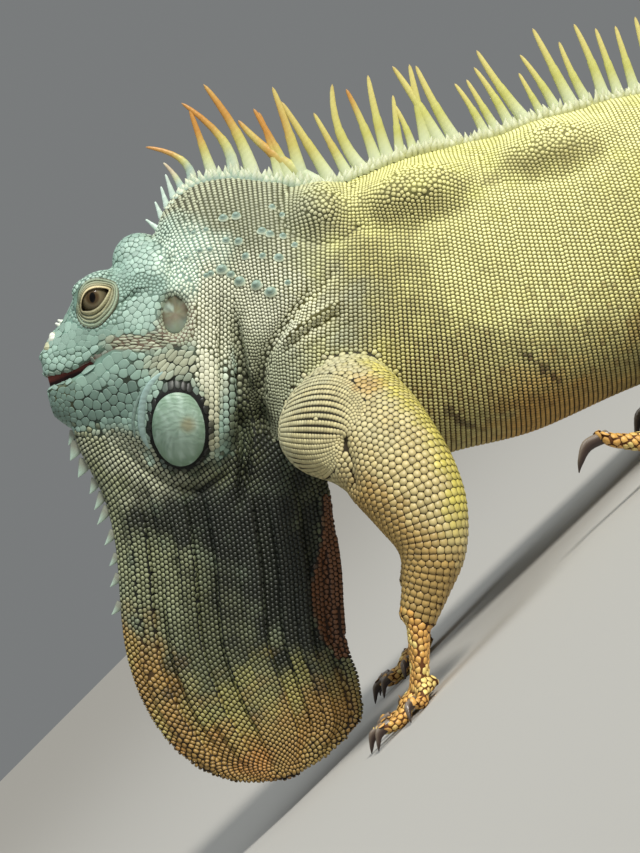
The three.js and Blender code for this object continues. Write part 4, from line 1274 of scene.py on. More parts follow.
def limb_markings(points, names, at):
    arm = of_kind(names, "arm")
    shoulder = arm * smooth(3.6, 1.4, at + 0.4 * wobble(points, 20, 14))
    scale, gap = blend("#c3b27a", "#c2b98c", shoulder * 0.8), blend("#3a2c10", "#241e0c", shoulder)
    root = arm * smooth(1.5, 0.7, at + 0.2 * wobble(points, 12, 15))
    rough = 4 * wobble(points, 9, 16)
    x = points[:, 0] - FAR_SHIFT["arm"] * (points[:, 1] > 0)
    upper_arm = ARM[5:1:-1]
    edge = np.interp(points[:, 2], [row[2] for row in upper_arm], [row[0] + row[3] for row in upper_arm])
    rear = arm * smooth(14, -1, edge - x + rough) * smooth(42, 60, points[:, 2])
    scale, gap = blend(scale, "#cfc455", rear * 0.75), blend(gap, "#55521c", rear * 0.7)
    scale, gap = blend(scale, "bone", root * 0.6), blend(gap, "#2e2a14", root)
    rust = in_section(points, seen(366, 384, BALL_DEPTH), (9, 5.5), -ROLL)
    rust = arm * smooth(1.4, 0.4, rust + 0.06 * rough)
    scale = blend(scale, "#b98a3c", rust * 0.5)
    fore = arm * smooth(-248, -266, x + rough) * smooth(2.0, 3.0, at)
    scale, gap = blend(scale, "#a88645", fore * 0.8), blend(gap, "#3f240a", fore * 0.8)
    leg = of_kind(names, "leg")
    scale = blend(scale, "#c9ba74", leg * 0.8)
    patch = smooth(0.3, 1, wobble(points, 26, 6))
    scale = blend(scale, "#a98a4c", patch * 0.5 * leg)
    ends = of_kind(names, "hand", "foot")
    scale = blend(scale, "#d9a04a", ends * 0.85)
    scale = blend(scale, "#f4e08a", smooth(0.0, 0.8, wobble(points, 14, 2)) * ends * 0.75)
    return scale, blend(gap, "#6b3a10", ends * 0.7)


def markings(points, part, at, turn):
    """Colour of the scales and of the skin between them, at every place."""
    names = PART_NAMES[part]
    chain = names == "chain"
    sheet, skull = names == "dewlap", names == "skull"
    behind = points[:, 0] + 249.6 + 0.305 * (268.6 - points[:, 2])
    painted = {
        "front": (skull | (chain & (at < 6)), lambda m: front_markings(points[m], smooth(6, -8, behind[m]))),
        "trunk": (chain & (at >= 4) & (at < 13.6), lambda m: trunk_markings(points[m], turn[m])),
        "tail": (chain & (at > 12), lambda m: tail_markings(points[m], at[m])),
        "dewlap": (sheet, lambda m: dewlap_markings(points[m], at[m], turn[m])),
        "limbs": (~(chain | sheet | skull), lambda m: limb_markings(points[m], names[m], at[m])),
    }
    share = {"front": np.ones(len(points)), "dewlap": np.ones(len(points)), "limbs": np.ones(len(points)),
             "trunk": np.where(chain, smooth(4, 6, at), 0), "tail": np.where(chain, smooth(12, 13.6, at), 0)}
    scale, gap = np.zeros((len(points), 3)), np.zeros((len(points), 3))
    for kind, (mask, paint) in painted.items():
        if mask.any():
            top, joint = paint(mask)
            part_of = share[kind][mask][:, None]
            scale[mask] += (top - scale[mask]) * part_of
            gap[mask] += (joint - gap[mask]) * part_of
    return scale, gap


def paint_attribute(piece, colours):
    """Stores a colour for every vertex."""
    attribute = piece.data.color_attributes.new("markings", "FLOAT_COLOR", "POINT")
    full = np.ones((len(piece.data.vertices), 4), np.float32)
    full[:, :3] = np.clip(colours, 0, 1)
    attribute.data.foreach_set("color", full.ravel())


# ---------------------------------------------------------------- scales
def cells(scales, near, chosen, sides, roundness, closeness):
    """Star-shaped outline of each scale: half way to its neighbours, in the skin's own plane."""
    places, normals, stretch = scales.place[chosen], scales.normal[chosen], scales.stretch[chosen]
    away = scales.place[near[chosen]] - places[:, None]
    facing = (scales.normal[near[chosen]] * normals[:, None]).sum(2) > 0.1
    way = scales.way[chosen]
    first = unit(way - normals * (way * normals).sum(1, keepdims=True) + 1e-6)
    second = np.cross(normals, first)
    flat = np.stack([(away * first[:, None]).sum(2) / stretch[:, None], (away * second[:, None]).sum(2)], 2)
    squared = (flat ** 2).sum(2) / 2
    angle = (np.arange(sides) + 0.5) * 2 * math.pi / sides
    rays = np.stack([np.cos(angle), np.sin(angle)], 1)
    towards = flat @ rays.T
    ahead = (towards > 1e-6) & facing[..., None]
    reach = np.where(ahead, squared[..., None] / np.maximum(towards, 1e-6), 1e9).min(1)
    reach = np.minimum(reach, scales.pitch[chosen][:, None] * 0.82)
    mean = reach.mean(1, keepdims=True)
    reach = (reach * (1 - roundness) + mean * roundness) * closeness
    along = first[:, None] * rays[None, :, 0:1] * stretch[:, None, None]
    return reach, along + second[:, None] * rays[None, :, 1:2]


def scale_piece(name, places, normals, ways, reach, directions, height, rings, slope, colour, gap, atlas):
    """Domed scales as one mesh: rings of (share of reach, share of height), closed above and below."""
    count, sides = reach.shape
    layers = []
    for share, lift in rings:
        ring = places[:, None] + directions * reach[:, :, None] * share
        rise = height[:, None] * lift
        if lift > 0:
            rise = rise + slope[:, None] * (directions * ways[:, None]).sum(2) * reach * share
        layers.append(ring + normals[:, None] * rise[:, :, None])
    per = len(rings) * sides + 1
    points = np.stack(layers, 1).reshape(count, -1, 3)
    points = np.concatenate([points, (places + normals * height[:, None])[:, None]], 1)
    start = (np.arange(count) * per)[:, None, None]
    k = np.arange(sides)
    after = (k + 1) % sides
    quads = np.concatenate([np.stack([k, after, after + sides, k + sides], 1) + level * sides
                            for level in range(len(rings) - 1)])
    quads = (start + quads[None]).reshape(-1)
    top = (len(rings) - 1) * sides
    bottom = (start[:, 0] + k[::-1][None]).reshape(-1)
    peak = np.stack([k + top, after + top, np.full(sides, top + sides)], 1)
    loops = np.concatenate([quads, bottom, (start + peak[None]).reshape(-1)])
    sizes = np.repeat([4, sides, 3], [count * sides * (len(rings) - 1), count, count * sides])
    mesh = bpy.data.meshes.new(name)
    mesh.vertices.add(count * per)
    mesh.vertices.foreach_set("co", (points * MM).ravel())
    mesh.loops.add(len(loops))
    mesh.loops.foreach_set("vertex_index", loops.astype(np.int32))
    mesh.polygons.add(len(sizes))
    mesh.polygons.foreach_set("loop_start", np.concatenate([[0], np.cumsum(sizes)[:-1]]).astype(np.int32))
    mesh.update(calc_edges=True)
    mesh.validate()
    mesh.polygons.foreach_set("use_smooth", np.ones(len(mesh.polygons), bool))
    piece = bpy.data.objects.new(name, mesh)
    bpy.context.scene.collection.objects.link(piece)
    shade = np.array([1.0 if lift < 0 else 0.28 if lift < 0.6 else 0.0 for _, lift in rings])
    tint = colour[:, None] + (gap - colour)[:, None] * shade[None, :, None]
    tint = np.concatenate([np.repeat(tint, sides, axis=1), (colour * 1.06)[:, None]], 1)
    paint_attribute(piece, tint.reshape(-1, 3))
    corner = np.empty(len(mesh.loops), np.int32)
    mesh.loops.foreach_get("vertex_index", corner)
    spread = np.zeros((per, 2))
    angle = (k + 0.5) * 2 * math.pi / sides
    for level in range(len(rings)):
        size = PATCH * (1.0 - 0.3 * level)
        spread[level * sides:(level + 1) * sides] = np.stack([np.cos(angle), np.sin(angle)], 1) * size
    uv = (atlas[:, None] + spread[None]).reshape(-1, 2)
    mesh.uv_layers.new(name="OFBake").data.foreach_set("uv", uv[corner].astype(np.float32).ravel())
    return piece


# Where each part lies on the flat unwrap of the skin: low corner and size.
ATLAS = {"chain": (0.01, 0.01, 0.6, 0.42), "tail": (0.01, 0.45, 0.6, 0.14), "skull": (0.64, 0.01, 0.35, 0.34),
         "dewlap": (0.64, 0.37, 0.35, 0.24), "arm": (0.01, 0.62, 0.3, 0.17), "leg": (0.34, 0.62, 0.3, 0.17),
         "hand": (0.67, 0.64, 0.3, 0.16), "foot": (0.67, 0.82, 0.3, 0.16)}


def atlas_place(part, at, turn):
    """Places on the unwrap, from the row and the turn on each part."""
    where = np.zeros((len(part), 2))
    for index, (name, rows) in enumerate(PARTS.items()):
        mask = part == index
        if not mask.any():
            continue
        share = at[mask] / (len(rows) - 1)
        kind = name.split("_")[0]
        x, y, wide, high = ATLAS[kind]
        around = turn[mask]
        if kind in ("arm", "leg", "hand", "foot"):
            half = 0.5 if name.endswith("right") else 0.0
            slot = (int(name.split("_")[2]) / 6) if "toe" in name else 0.0
            share = slot + share / 6 if kind in ("hand", "foot") else share
            around = half + around / 2
        where[mask] = np.stack([x + wide * share, y + high * around], 1)
        if kind == "chain":
            rear = at[mask] > TRUNK_LAST
            tail_x, tail_y, tail_wide, tail_high = ATLAS["tail"]
            along = (at[mask] - TRUNK_LAST) / (CHAIN_LAST - TRUNK_LAST)
            front = at[mask] / TRUNK_LAST
            where[mask] = np.where(
                rear[:, None],
                np.stack([tail_x + tail_wide * along, tail_y + tail_high * around], 1),
                np.stack([x + wide * front, y + high * around], 1),
            )
    return where


# Kinds of scale: sides, rings as (share of the reach, share of the height). All end in a middle point.
BEADS = (6, [(1.0, -0.5), (0.84, 0.72)])
SLABS = (8, [(1.0, -0.4), (0.93, 0.7)])
TILES = (12, [(1.0, -0.4), (0.94, 0.7)])
PLATES = (16, [(1.0, -0.6), (0.96, 0.6), (0.82, 0.95)])
MOST_FACES = 190000  # triangles of one coat piece
PATCH = 0.0015  # half width of a scale's patch on the unwrap


def make_coat(scales, finder):
    part, at, turn = finder.find(scales.place)
    names = PART_NAMES[part]
    colour, gap = markings(scales.place, part, at, turn)
    near = nearest(scales.place, NEIGHBOURS)
    count = len(scales.place)
    colour = colour * (1 + 0.09 * random.standard_normal(count))[:, None].clip(0.75, 1.25)
    head, sheet, chain = names == "skull", names == "dewlap", names == "chain"
    limb = ~(head | sheet | chain)
    tail = chain & (at > 13.2)
    shoulder = of_kind(names, "arm") & ((at < 1.4) | on_ball(scales.place, scales.normal))
    height = 0.28 * scales.pitch ** 0.75 * scales.relief
    height[head] = 0.26 * scales.pitch[head] ** 0.6 * scales.relief[head]
    height[limb & ~shoulder] *= 0.5
    slope = np.where(limb & ~shoulder, 0.13, np.where(tail | sheet, 0.14, 0.0))
    closeness, roundness = np.full(count, 0.95), np.full(count, 0.4)
    closeness[sheet], roundness[sheet] = 0.88, 0.06
    closeness[head], roundness[head] = 0.98, 0.05
    closeness[head & (scales.relief < 0.25)] = 1.05
    closeness[limb | tail], roundness[limb | tail] = 0.99, 0.04
    closeness[shoulder], roundness[shoulder] = 0.98, 0.12
    atlas = atlas_place(part, at, turn)
    plated, slabs = head & (scales.pitch > 2.5), limb | tail | sheet
    tiles = of_kind(names, "arm")
    kinds = (
        ("beads", ~(plated | slabs), BEADS),
        ("slabs", slabs & ~tiles, SLABS),
        ("tiles", tiles, TILES),
        ("plates", plated, PLATES),
    )
    made = []
    for label, mask, (sides, rings) in kinds:
        faces = sides * 2 * (len(rings) - 1) + (sides - 2) + sides
        order = np.flatnonzero(mask)
        order = order[np.argsort(scales.place[order, 0], kind="stable")]
        groups = math.ceil(len(order) * faces / MOST_FACES)
        for number, chosen in enumerate(np.array_split(order, groups)):
            fit = roundness[chosen, None], closeness[chosen, None]
            reach, directions = cells(scales, near, chosen, sides, *fit)
            made.append(scale_piece(
                f"{label}_{number + 1}", scales.place[chosen], scales.normal[chosen], scales.way[chosen],
                reach, directions, height[chosen], rings, slope[chosen], colour[chosen], gap[chosen],
                atlas[chosen]))
        print(label, len(order), "scales,", groups, "pieces,", len(order) * faces, "triangles")
    return made


# ---------------------------------------------------------------- crest, throat spines and tubercles
# One file of spines: row of the body, length, lean in degrees (positive towards the head), kink.
CREST = [
    (0.3, 8, -20, 0), (0.65, 9, -45, 0), (1.0, 11, -40, 0), (1.35, 13, -32, 0), (1.72, 17, -5, 1),
    (2.1, 31, 28, 7), (2.7, 38, 10, 0), (3.2, 47, 38, 8), (3.68, 56, 36, 4), (4.22, 38, 26, 1),
    (4.42, 44, 36, 1), (4.62, 54, 24, 1), (4.9, 55, 50, -4), (5.15, 51, 19, 0), (5.5, 39, 6, 0),
    (5.82, 49, -3, -5), (6.12, 44, 2, 1), (6.38, 47, -7, -1), (6.62, 33, -13, 0), (6.9, 28, 6, 1),
    (7.15, 46, 0, 0), (7.4, 50, 22, 1), (7.66, 47, 18, -1), (8.12, 33, 14, 1), (8.3, 33, 12, 0),
    (8.5, 38, 12, 1), (8.74, 47, 16, -1), (8.98, 27, 12, 0), (9.2, 37, 17, 1), (9.44, 48, 12, 0),
    (9.66, 37, 11, -1), (9.9, 44, 9, 1), (10.12, 39, 8, 0), (10.36, 38, 7, 0), (10.64, 41, 6, 0),
    (10.92, 36, 5, 0),
]
CREST_AFTER = {"from": 11.2, "to": CHAIN_LAST - 4, "first": 37, "last": 4, "count": 60, "lean": 2,
               "tail_lean": -26}
# Spines down the front of the dewlap: row, length, half width.
GULAR = [(0.25, 7, 2.6), (0.6, 9.5, 4.2), (1.1, 9, 3.8), (1.6, 7.5, 3.0), (1.95, 9, 2.8), (2.3, 10, 2.8),
         (2.9, 8, 2.6), (3.55, 6.5, 2.4), (4.1, 7, 2.4), (4.75, 7, 2.4)]
# Outlines of spines: share of the length, of the width.
SPINE_OUTLINE = [(-0.06, 1.05), (0.0, 1.12), (0.07, 1.08), (0.14, 1.0), (0.26, 0.88), (0.4, 0.77),
                 (0.5, 0.71), (0.53, 0.61), (0.66, 0.55), (0.8, 0.46), (0.91, 0.36), (0.97, 0.24)]
POINTED = [(-0.06, 1.0), (0.0, 1.0), (0.25, 0.9), (0.5, 0.68), (0.72, 0.42), (0.9, 0.18)]


def spine_rings(foot, way, run, length, deep, wide, bend, sides=12, outline=SPINE_OUTLINE):
    """Rings of a leaf-shaped spine: it leaves the foot along way, its width lies along run."""
    foot, way, run = (np.array(value, float) for value in (foot, way, run))
    middle = foot + way * length * 0.5 + run * bend
    tip = foot + way * length

    def on_curve(share):
        first = foot * (1 - share) * (1 - 2 * share) + middle * 4 * share * (1 - share)
        return first + tip * share * (2 * share - 1)

    across = unit(np.cross(way, run))
    turn = np.linspace(0, 2 * math.pi, sides, endpoint=False)
    rings = []
    for share, size in [*outline, (1.0, 0.02)]:
        place = on_curve(share)
        along = unit(on_curve(share + 0.02) - place)
        broad = unit(run - along * (run @ along))
        ring = place + np.outer(np.cos(turn), broad) * deep * size
        rings.append(ring + np.outer(np.sin(turn), across) * wide * size)
    return np.array(rings)


def crest_table():
    table = [list(row) for row in CREST]
    after = CREST_AFTER
    turn = np.random.default_rng(11)
    for index in range(after["count"]):
        share = index / (after["count"] - 1)
        length = (after["first"] + (after["last"] - after["first"]) * share ** 0.6) * turn.uniform(0.85, 1.1)
        lean = after["lean"] + (after["tail_lean"] - after["lean"]) * share ** 0.5 + turn.uniform(-4, 4)
        at = after["from"] + (after["to"] - after["from"]) * share
        table.append([at, length, lean, -length * 0.04 * share])
    return table


def spine_piece(name, rows):
    """Many spines in one mesh, with the share of the way to the tip and the place stored for the colour."""
    pieces, shares, kinds = [], [], []
    for rings, kind in rows:
        piece = tube(name, rings)
        points = points_of(piece)
        foot, tip = rings[1].mean(0), rings[-1].mean(0)
        shares.append(np.clip((points - foot) @ (tip - foot) / ((tip - foot) @ (tip - foot)), 0, 1))
        kinds.append(np.full(len(points), kind, float))
        pieces.append(piece)
    joined = join(name, pieces)
    shares, kinds = np.concatenate(shares), np.concatenate(kinds)
    return joined, shares, kinds


def make_crest():
    rows = []
    for at, length, lean, kink in crest_table():
        cut, _, _, side, _ = frame_at(CHAIN, np.array([at]))
        back = cut[0, 0:3]
        after, before = (sample(CHAIN, np.array([at + step]))[0, 0:3] for step in (0.05, -0.05))
        run = unit(after - before)
        out = unit(np.cross(run, side[0]))
        out = out if out[2] > 0 else -out
        turn = math.radians(lean)
        way = out * math.cos(turn) - run * math.sin(turn)
        deep = 1.2 + length * 0.046
        rings = spine_rings(back - out * COAT, way, run, length, deep, 0.9 + length * 0.024, kink)
        rows.append((rings, smooth(2.2, 1.2, at)))
    piece, share, neck = spine_piece("crest_spines", rows)
    points = points_of(piece)
    place = np.clip((points[:, 0] + 250) / 150 + 0.2 * wobble(points, 24, 51), 0, 1)
    colours = blend("#d6deb4", "#a3bcb4", smooth(0.5, 0.1, place))
    colours = blend(colours, "#cbcb74", smooth(0.12, 0.4, share))
    colours = blend(colours, "#c98f42", smooth(0.25, 0.7, share) * smooth(0.95, 0.5, place))
    colours = blend(colours, "#dcd080", smooth(0.4, 0.8, share) * smooth(0.5, 1.0, place))
    colours = blend(colours, "#e0e4cc", smooth(0.14, 0.02, share) * 0.8)
    colours = blend(colours, "#8f6a35", smooth(0.93, 1.0, share) * 0.5)
    colours = blend(colours, "#cfe3d8", neck)
    paint_attribute(piece, colours)
    return piece


def make_crest_fringe():
    """Rows of small pointed scales on both sides of the foot of the crest."""
    rows = []
    at = np.linspace(0, 1, 1200)
    spread = np.interp(at, [0, 1], [1.0, 12.0])
    run = run_of(surface(CHAIN, spread, np.zeros(1200)))
    chance = np.random.default_rng(5)
    for side in (-1, 1):
        for layer, (aside, tall) in enumerate(((0.07, 6.5), (0.125, 5.0))):
            for spot in np.arange(layer * 1.7, run[-1], 3.4):
                row = np.interp(spot, run, spread)
                girth = np.pi * (sample(CHAIN, row)[6] + 30)
                turn = side * aside * 2 * math.pi * 60 / girth
                foot = surface(CHAIN, np.array([row]), np.array([turn]))[0]
                out = surface(CHAIN, np.array([row]), np.array([turn]), grow=2)[0] - foot
                along = frame_at(CHAIN, np.array([row]))[1][0]
                way = unit(unit(out) + np.array([0, 0, 0.3]) + along * chance.uniform(-0.1, 0.5))
                size = tall * chance.uniform(0.6, 1.15) * float(smooth(0.6, 3, row)) + 1
                foot -= unit(out) * 1.4
                wide = chance.uniform(1.7, 2.5)
                rings = spine_rings(foot, way, along, size, wide, wide * 0.75, 0.2, 6, POINTED)
                rows.append((rings, float(smooth(7, 3, row))))
    piece, share, neck = spine_piece("crest_fringe", rows)
    colours = blend("#b3b47c", "#a4bcae", neck)
    colours = blend(colours, "#dfe3c4", smooth(0.1, 0.7, share) * 0.8)
    paint_attribute(piece, colours)
    return piece


def make_throat_spines():
    rows = []
    for at, length, wide in GULAR:
        cut, along, up, _, _ = frame_at(DEWLAP_ROWS, np.array([at]))
        way = unit(up[0] * 0.6 + along[0] * 0.7)
        run = unit(along[0] - way * (along[0] @ way))
        rows.append((spine_rings(cut[0, 0:3] - up[0], way, run, length + 1, wide, 1.5, 0.4, 12, POINTED), 0))
    piece, share, _ = spine_piece("throat_spines", rows)
    colours = blend("#85887a", "#a9c0b0", smooth(0.2, 0.8, share))
    paint_attribute(piece, colours)
    return piece


def make_tubercles(skin_surface):
    rows = []
    for side in SIDES.values():
        for pixel, radius in TUBERCLES:
            x, z = seen(*pixel, TUBERCLE_DEPTH)
            radius *= 1.15
            place, normal = skin_surface.from_side(x, z, side)
            if place is None:
                continue
            way = unit(np.array(normal) + (0.3, 0, 0.3))
            foot = np.array(place) - way * 0.4
            rings = spine_rings(foot, way, (0.7, 0, -0.7), radius * 0.95, radius, radius * 0.85, 0, 12)
            rows.append((rings, 0))
    piece, share, _ = spine_piece("neck_tubercles", rows)
    colours = blend("#cfdcc4", "#8fa79a", smooth(0.1, 0.55, share))
    paint_attribute(piece, colours)
    return piece


def make_claws():
    made = {}
    for name, rows in CLAWS.items():
        piece = tube(f"horn_{name}", rings_of(rows, steps=14, sides=14, tip=0.3, heel=0.5))
        points = points_of(piece)
        start, end = rows[0, 0:6].reshape(2, 3).mean(0), rows[-1, 0:6].reshape(2, 3).mean(0)
        share = np.clip((points - start) @ (end - start) / ((end - start) @ (end - start)), 0, 1)
        # Painted light and shade: paler where the claw faces up, darker where it faces down.
        high = normals_of(piece)[:, 2]
        dark = srgb("#2e1a12")
        colours = dark + (srgb("#8d7f70") - dark) * smooth(-0.2, 0.9, high)[:, None] * 0.8
        colours += (srgb("#1c110d") - colours) * smooth(0.6, 1, share)[:, None] * 0.6
        paint_attribute(piece, colours)
        made[name] = piece
    return made


# ---------------------------------------------------------------- eyes, ears and cheek shields
def on_ellipse(radii, share, angle, turn):
    """X and Z from the middle of a turned ellipse of a share of the radii."""
    u, v = radii[0] * share * np.cos(angle), radii[1] * share * np.sin(angle)
    return u * math.cos(turn) + v * math.sin(turn), v * math.cos(turn) - u * math.sin(turn)


def side_fit(skin_surface, centre, radii, turn, side, low, high):
    """A smooth sheet (quadratic in X and Z) through the skin's side within a ring of an ellipse."""
    found = []
    for radius in np.linspace(low, high, 6):
        for angle in np.linspace(0, 2 * math.pi, 24, endpoint=False):
            x, z = on_ellipse(radii, radius, angle, turn)
            place, _ = skin_surface.from_side(centre[0] + x, centre[1] + z, side)
            if place is not None:
                found.append((x, z, side * place.y))
    x, z, y = np.array(found).T
    terms = np.stack([np.ones(len(x)), x, z, x * x, x * z, z * z], 1)
    return np.linalg.lstsq(terms, y, rcond=None)[0]


def sheet_height(fit, x, z):
    return fit[0] + fit[1] * x + fit[2] * z + fit[3] * x * x + fit[4] * x * z + fit[5] * z * z


def oval_plate(name, skin_surface, centre, radii, turn, side, profile, band):
    """A closed oval plate on the side of the head. profile: share of the radius, height over the skin."""
    fit = side_fit(skin_surface, centre, radii, turn, side, *band)
    angle = np.linspace(0, 2 * math.pi, 64, endpoint=False)
    back = profile[-1][1] - PLATE_THICK
    rings = []
    for share, height in profile + [(share, back) for share, _ in profile[::-1]]:
        x, z = on_ellipse(radii, share, angle, turn)
        y = sheet_height(fit, x, z) + height
        rings.append(np.stack([centre[0] + x, side * y, centre[1] + z], 1))
    return tube(name, np.array(rings))


PLATE_THICK = 1.6
# Profiles from the middle outwards: share of the radius, height.
DRUM_PROFILE = [(0.0, -5.4), (0.3, -5.3), (0.6, -5.0), (0.85, -4.4), (1.0, -3.6)]
SHIELD_PROFILE = [(0.0, 1.9), (0.15, 1.9), (0.3, 1.85), (0.42, 1.8), (0.55, 1.7), (0.65, 1.6), (0.75, 1.45),
                  (0.83, 1.25), (0.9, 0.95), (0.96, 0.5), (1.0, 0.0)]


def make_ears_and_shields(skin_surface):
    made = {}
    for name, side in SIDES.items():
        for kind, spot, profile, band in (
            ("tympanum", EAR, DRUM_PROFILE, (1.25, 1.6)),
            ("shield", SHIELD, SHIELD_PROFILE, (0.2, 0.8)),
        ):
            x, _, z = on_head(spot["s"], spot["h"])
            turn = HEAD_PITCH + math.radians(spot["tilt"])
            radii = spot["wide"], spot["long"]
            piece = oval_plate(f"{kind}_skin_{name}", skin_surface, (x, z), radii, turn, side, profile, band)
            points = points_of(piece)
            inside = in_spot(points, spot)
            s, h = head_place(points)
            if kind == "shield":
                colours = blend("#9db8a6", "#7f9c84", smooth(0.5, 1.0, inside))
                colours = blend(colours, "#b9d2c4", smooth(0.0, 1.0, wobble(points, 6, 41)) * 0.55)
                colours = blend(colours, "#6f8a78", smooth(0.2, 1.1, wobble(points, 3.5, 42)) * 0.45)
                stain = np.hypot(s - spot["s"] + 5, h - spot["h"])
                colours = blend(colours, "#9a8f68", smooth(6, 1.5, stain) * 0.7)
            else:
                dent = 0.6 + 0.6 * wobble(points, 7, 44) + 0.3 * wobble(points, 3, 45)
                set_points(piece, points + np.outer(side * dent * smooth(1.0, 0.8, inside), (0, 1, 0)))
                # Painted shade: the drum darkens towards the rim of its pit.
                colours = blend("#87826c", "#57503c", smooth(0.4, 0.95, inside))
                colours = blend(colours, "#6e7a66", smooth(0.1, 0.9, wobble(points, 5, 46)) * 0.7)
                # A painted highlight: the pale glint high on the drum.
                pale = np.hypot(s - spot["s"] - 2, h - spot["h"] - 4) + 0.9 * wobble(points, 4, 43)
                colours = blend(colours, "#a9bcae", smooth(3.4, 1.4, pale) * 0.8)
                colours = blend(colours, "#7f9281", smooth(spot["h"] - 1, spot["h"] - 7, h) * 0.6)
            paint_attribute(piece, colours)
            made[f"{kind}_{name}"] = piece
    return made


STRIP_HIGH = 1.3


def strip_plate(name, skin_surface, line, wide, side):
    """A long plate that follows a line on the side of the head, pointed at both ends."""
    line = np.array(line, float)
    share = np.linspace(0, 1, 30)
    run = run_of(line)
    middle = np.stack([np.interp(share * run[-1], run, line[:, axis]) for axis in (0, 1)], 1)
    for _ in range(6):
        middle[1:-1] = middle[1:-1] * 0.5 + (middle[:-2] + middle[2:]) * 0.25
    along = unit(np.gradient(middle, axis=0))
    across = np.stack([-along[:, 1], along[:, 0]], 1)
    turn = np.linspace(0, 2 * math.pi, 12, endpoint=False)
    rings = []
    for place, way, part in zip(middle, across, share):
        found, _ = skin_surface.from_side(*place, side)
        half = wide * math.sin(math.pi * min(max(part, 0.01), 0.99)) ** 0.45
        ring = [(place[0] + way[0] * half * math.cos(angle),
                 found.y + side * (STRIP_HIGH * 0.8 * math.sin(angle) * half / wide + 0.3),
                 place[1] + way[1] * half * math.cos(angle)) for angle in turn]
        rings.append(ring)
    return tube(name, np.array(rings))


def make_cheek_plates(skin_surface):
    made = []
    for side in SIDES.values():
        for line, wide, code in ((CRESCENT, 2.1, "#9db8b2"), (CRESCENT_2, 1.1, "#7f968c")):
            piece = strip_plate("cheek_plates", skin_surface, line, wide, side)
            paint_attribute(piece, srgb(code))
            made.append(piece)
    return join("cheek_plates", made)


LID_FOLDS = [(0.0, -1.8), (0.02, 0.1), (0.08, 0.9), (0.16, 1.0), (0.23, 0.7), (0.3, -0.5), (0.37, 0.7),
             (0.44, 0.65), (0.51, -0.4), (0.58, 0.6), (0.65, 0.5), (0.71, -0.4), (0.78, 0.5), (0.86, 0.3),
             (0.93, -0.2), (1.0, -0.6)]  # share outwards, height
GAZE = seen(92.5, 297.5, -21)  # middle of the pupil, X and Z


def closed_curve(places, count):
    """A smooth closed curve through places, evenly sampled."""
    places = np.array(places, float)
    at = np.linspace(0, len(places), count)
    start = np.floor(at).astype(int)
    return cubic(*(places[(start + step) % len(places)] for step in (-1, 0, 1, 2)), (at - start)[:, None])


def over_eye(x, z):
    """Height over the slanted middle line of the eye."""
    return z + 0.25 * x - (265.5 - 0.25 * 295)


def make_eyes(skin_surface):
    made = {}
    for name, side in SIDES.items():
        x, y, z = on_head(EYE["s"], EYE["h"], side * EYE["y"])
        ball = lump(f"eyeball_{name}", (x, y, z), (EYE["radius"],) * 3)
        apply(ball, "SUBSURF", levels=1, render_levels=1)
        made[f"eye_{name}"] = ball
        rim, outer = closed_curve(LID_RIM, 97), closed_curve(LID_EDGE, 97)
        fit = side_fit(skin_surface, (x, z), (13, 11.5), 0, side, 1.05, 1.3)
        skin = sheet_height(fit, outer[:, 0] - x, outer[:, 1] - z)
        upper = smooth(-2, 5, over_eye(rim[:, 0], rim[:, 1]))
        layers, shares = [], []
        for share, height in LID_FOLDS + [(1.0, -4.5), (0.5, -4.5), (0.0, -4.5)]:
            flat = rim + (outer - rim) * share
            dx, dz = flat[:, 0] - x, flat[:, 1] - z
            deep = EYE["radius"] ** 2 - (0.8 * dx) ** 2 - (0.9 * dz) ** 2
            on_ball = EYE["y"] + np.sqrt(np.maximum(deep, 10))
            heavy = 1 + 0.6 * upper * (0 < share < 0.3)
            depth = on_ball + (skin - on_ball) * smooth(0, 1, share) + height * heavy
            bulge = EYE["y"] + np.sqrt(np.maximum(EYE["radius"] ** 2 - dx ** 2 - dz ** 2, 0))
            if share > 0 and height > -4:
                hide = side * np.array([skin_surface.from_side(*place, side)[0].y for place in flat])
                depth = np.maximum(depth, bulge + 0.5 + 0.5 * height)
                depth = np.maximum(depth, hide + 0.35 + 1.2 * height * smooth(1.0, 0.9, share))
            layers.append(np.stack([flat[:, 0], side * depth, flat[:, 1]], 1))
            shares.append(np.full(len(flat), share))
        lids = tube(f"eyelids_{name}", np.array(layers).transpose(1, 0, 2), np.array(shares).T)
        share = np.empty(len(lids.data.vertices), np.float32)
        lids.data.attributes["share"].data.foreach_get("value", share)
        fold = np.interp(share, *zip(*LID_FOLDS))
        points = points_of(lids)
        colours = blend("#93a58c", "#a39c77", smooth(0.9, 0.3, share) * 0.8)
        # Painted shade in the grooves between the lid folds.
        colours = blend(colours, "#4b4732", smooth(0.35, -0.1, fold) * 0.85)
        # The rim's pale band, made paler on the upper lid: a painted highlight.
        high = smooth(-4, 3, over_eye(points[:, 0], points[:, 2]))
        edge = smooth(0.27, 0.2, share) * smooth(0.03, 0.08, share)
        colours = blend(blend(colours, "#b3b08c", edge), "#dccda0", edge * high)
        colours = blend(colours, "#3a2a18", smooth(0.06, 0.0, share) * 0.9)
        paint_attribute(lids, colours)
        made[f"eyelids_{name}"] = lids
    return made


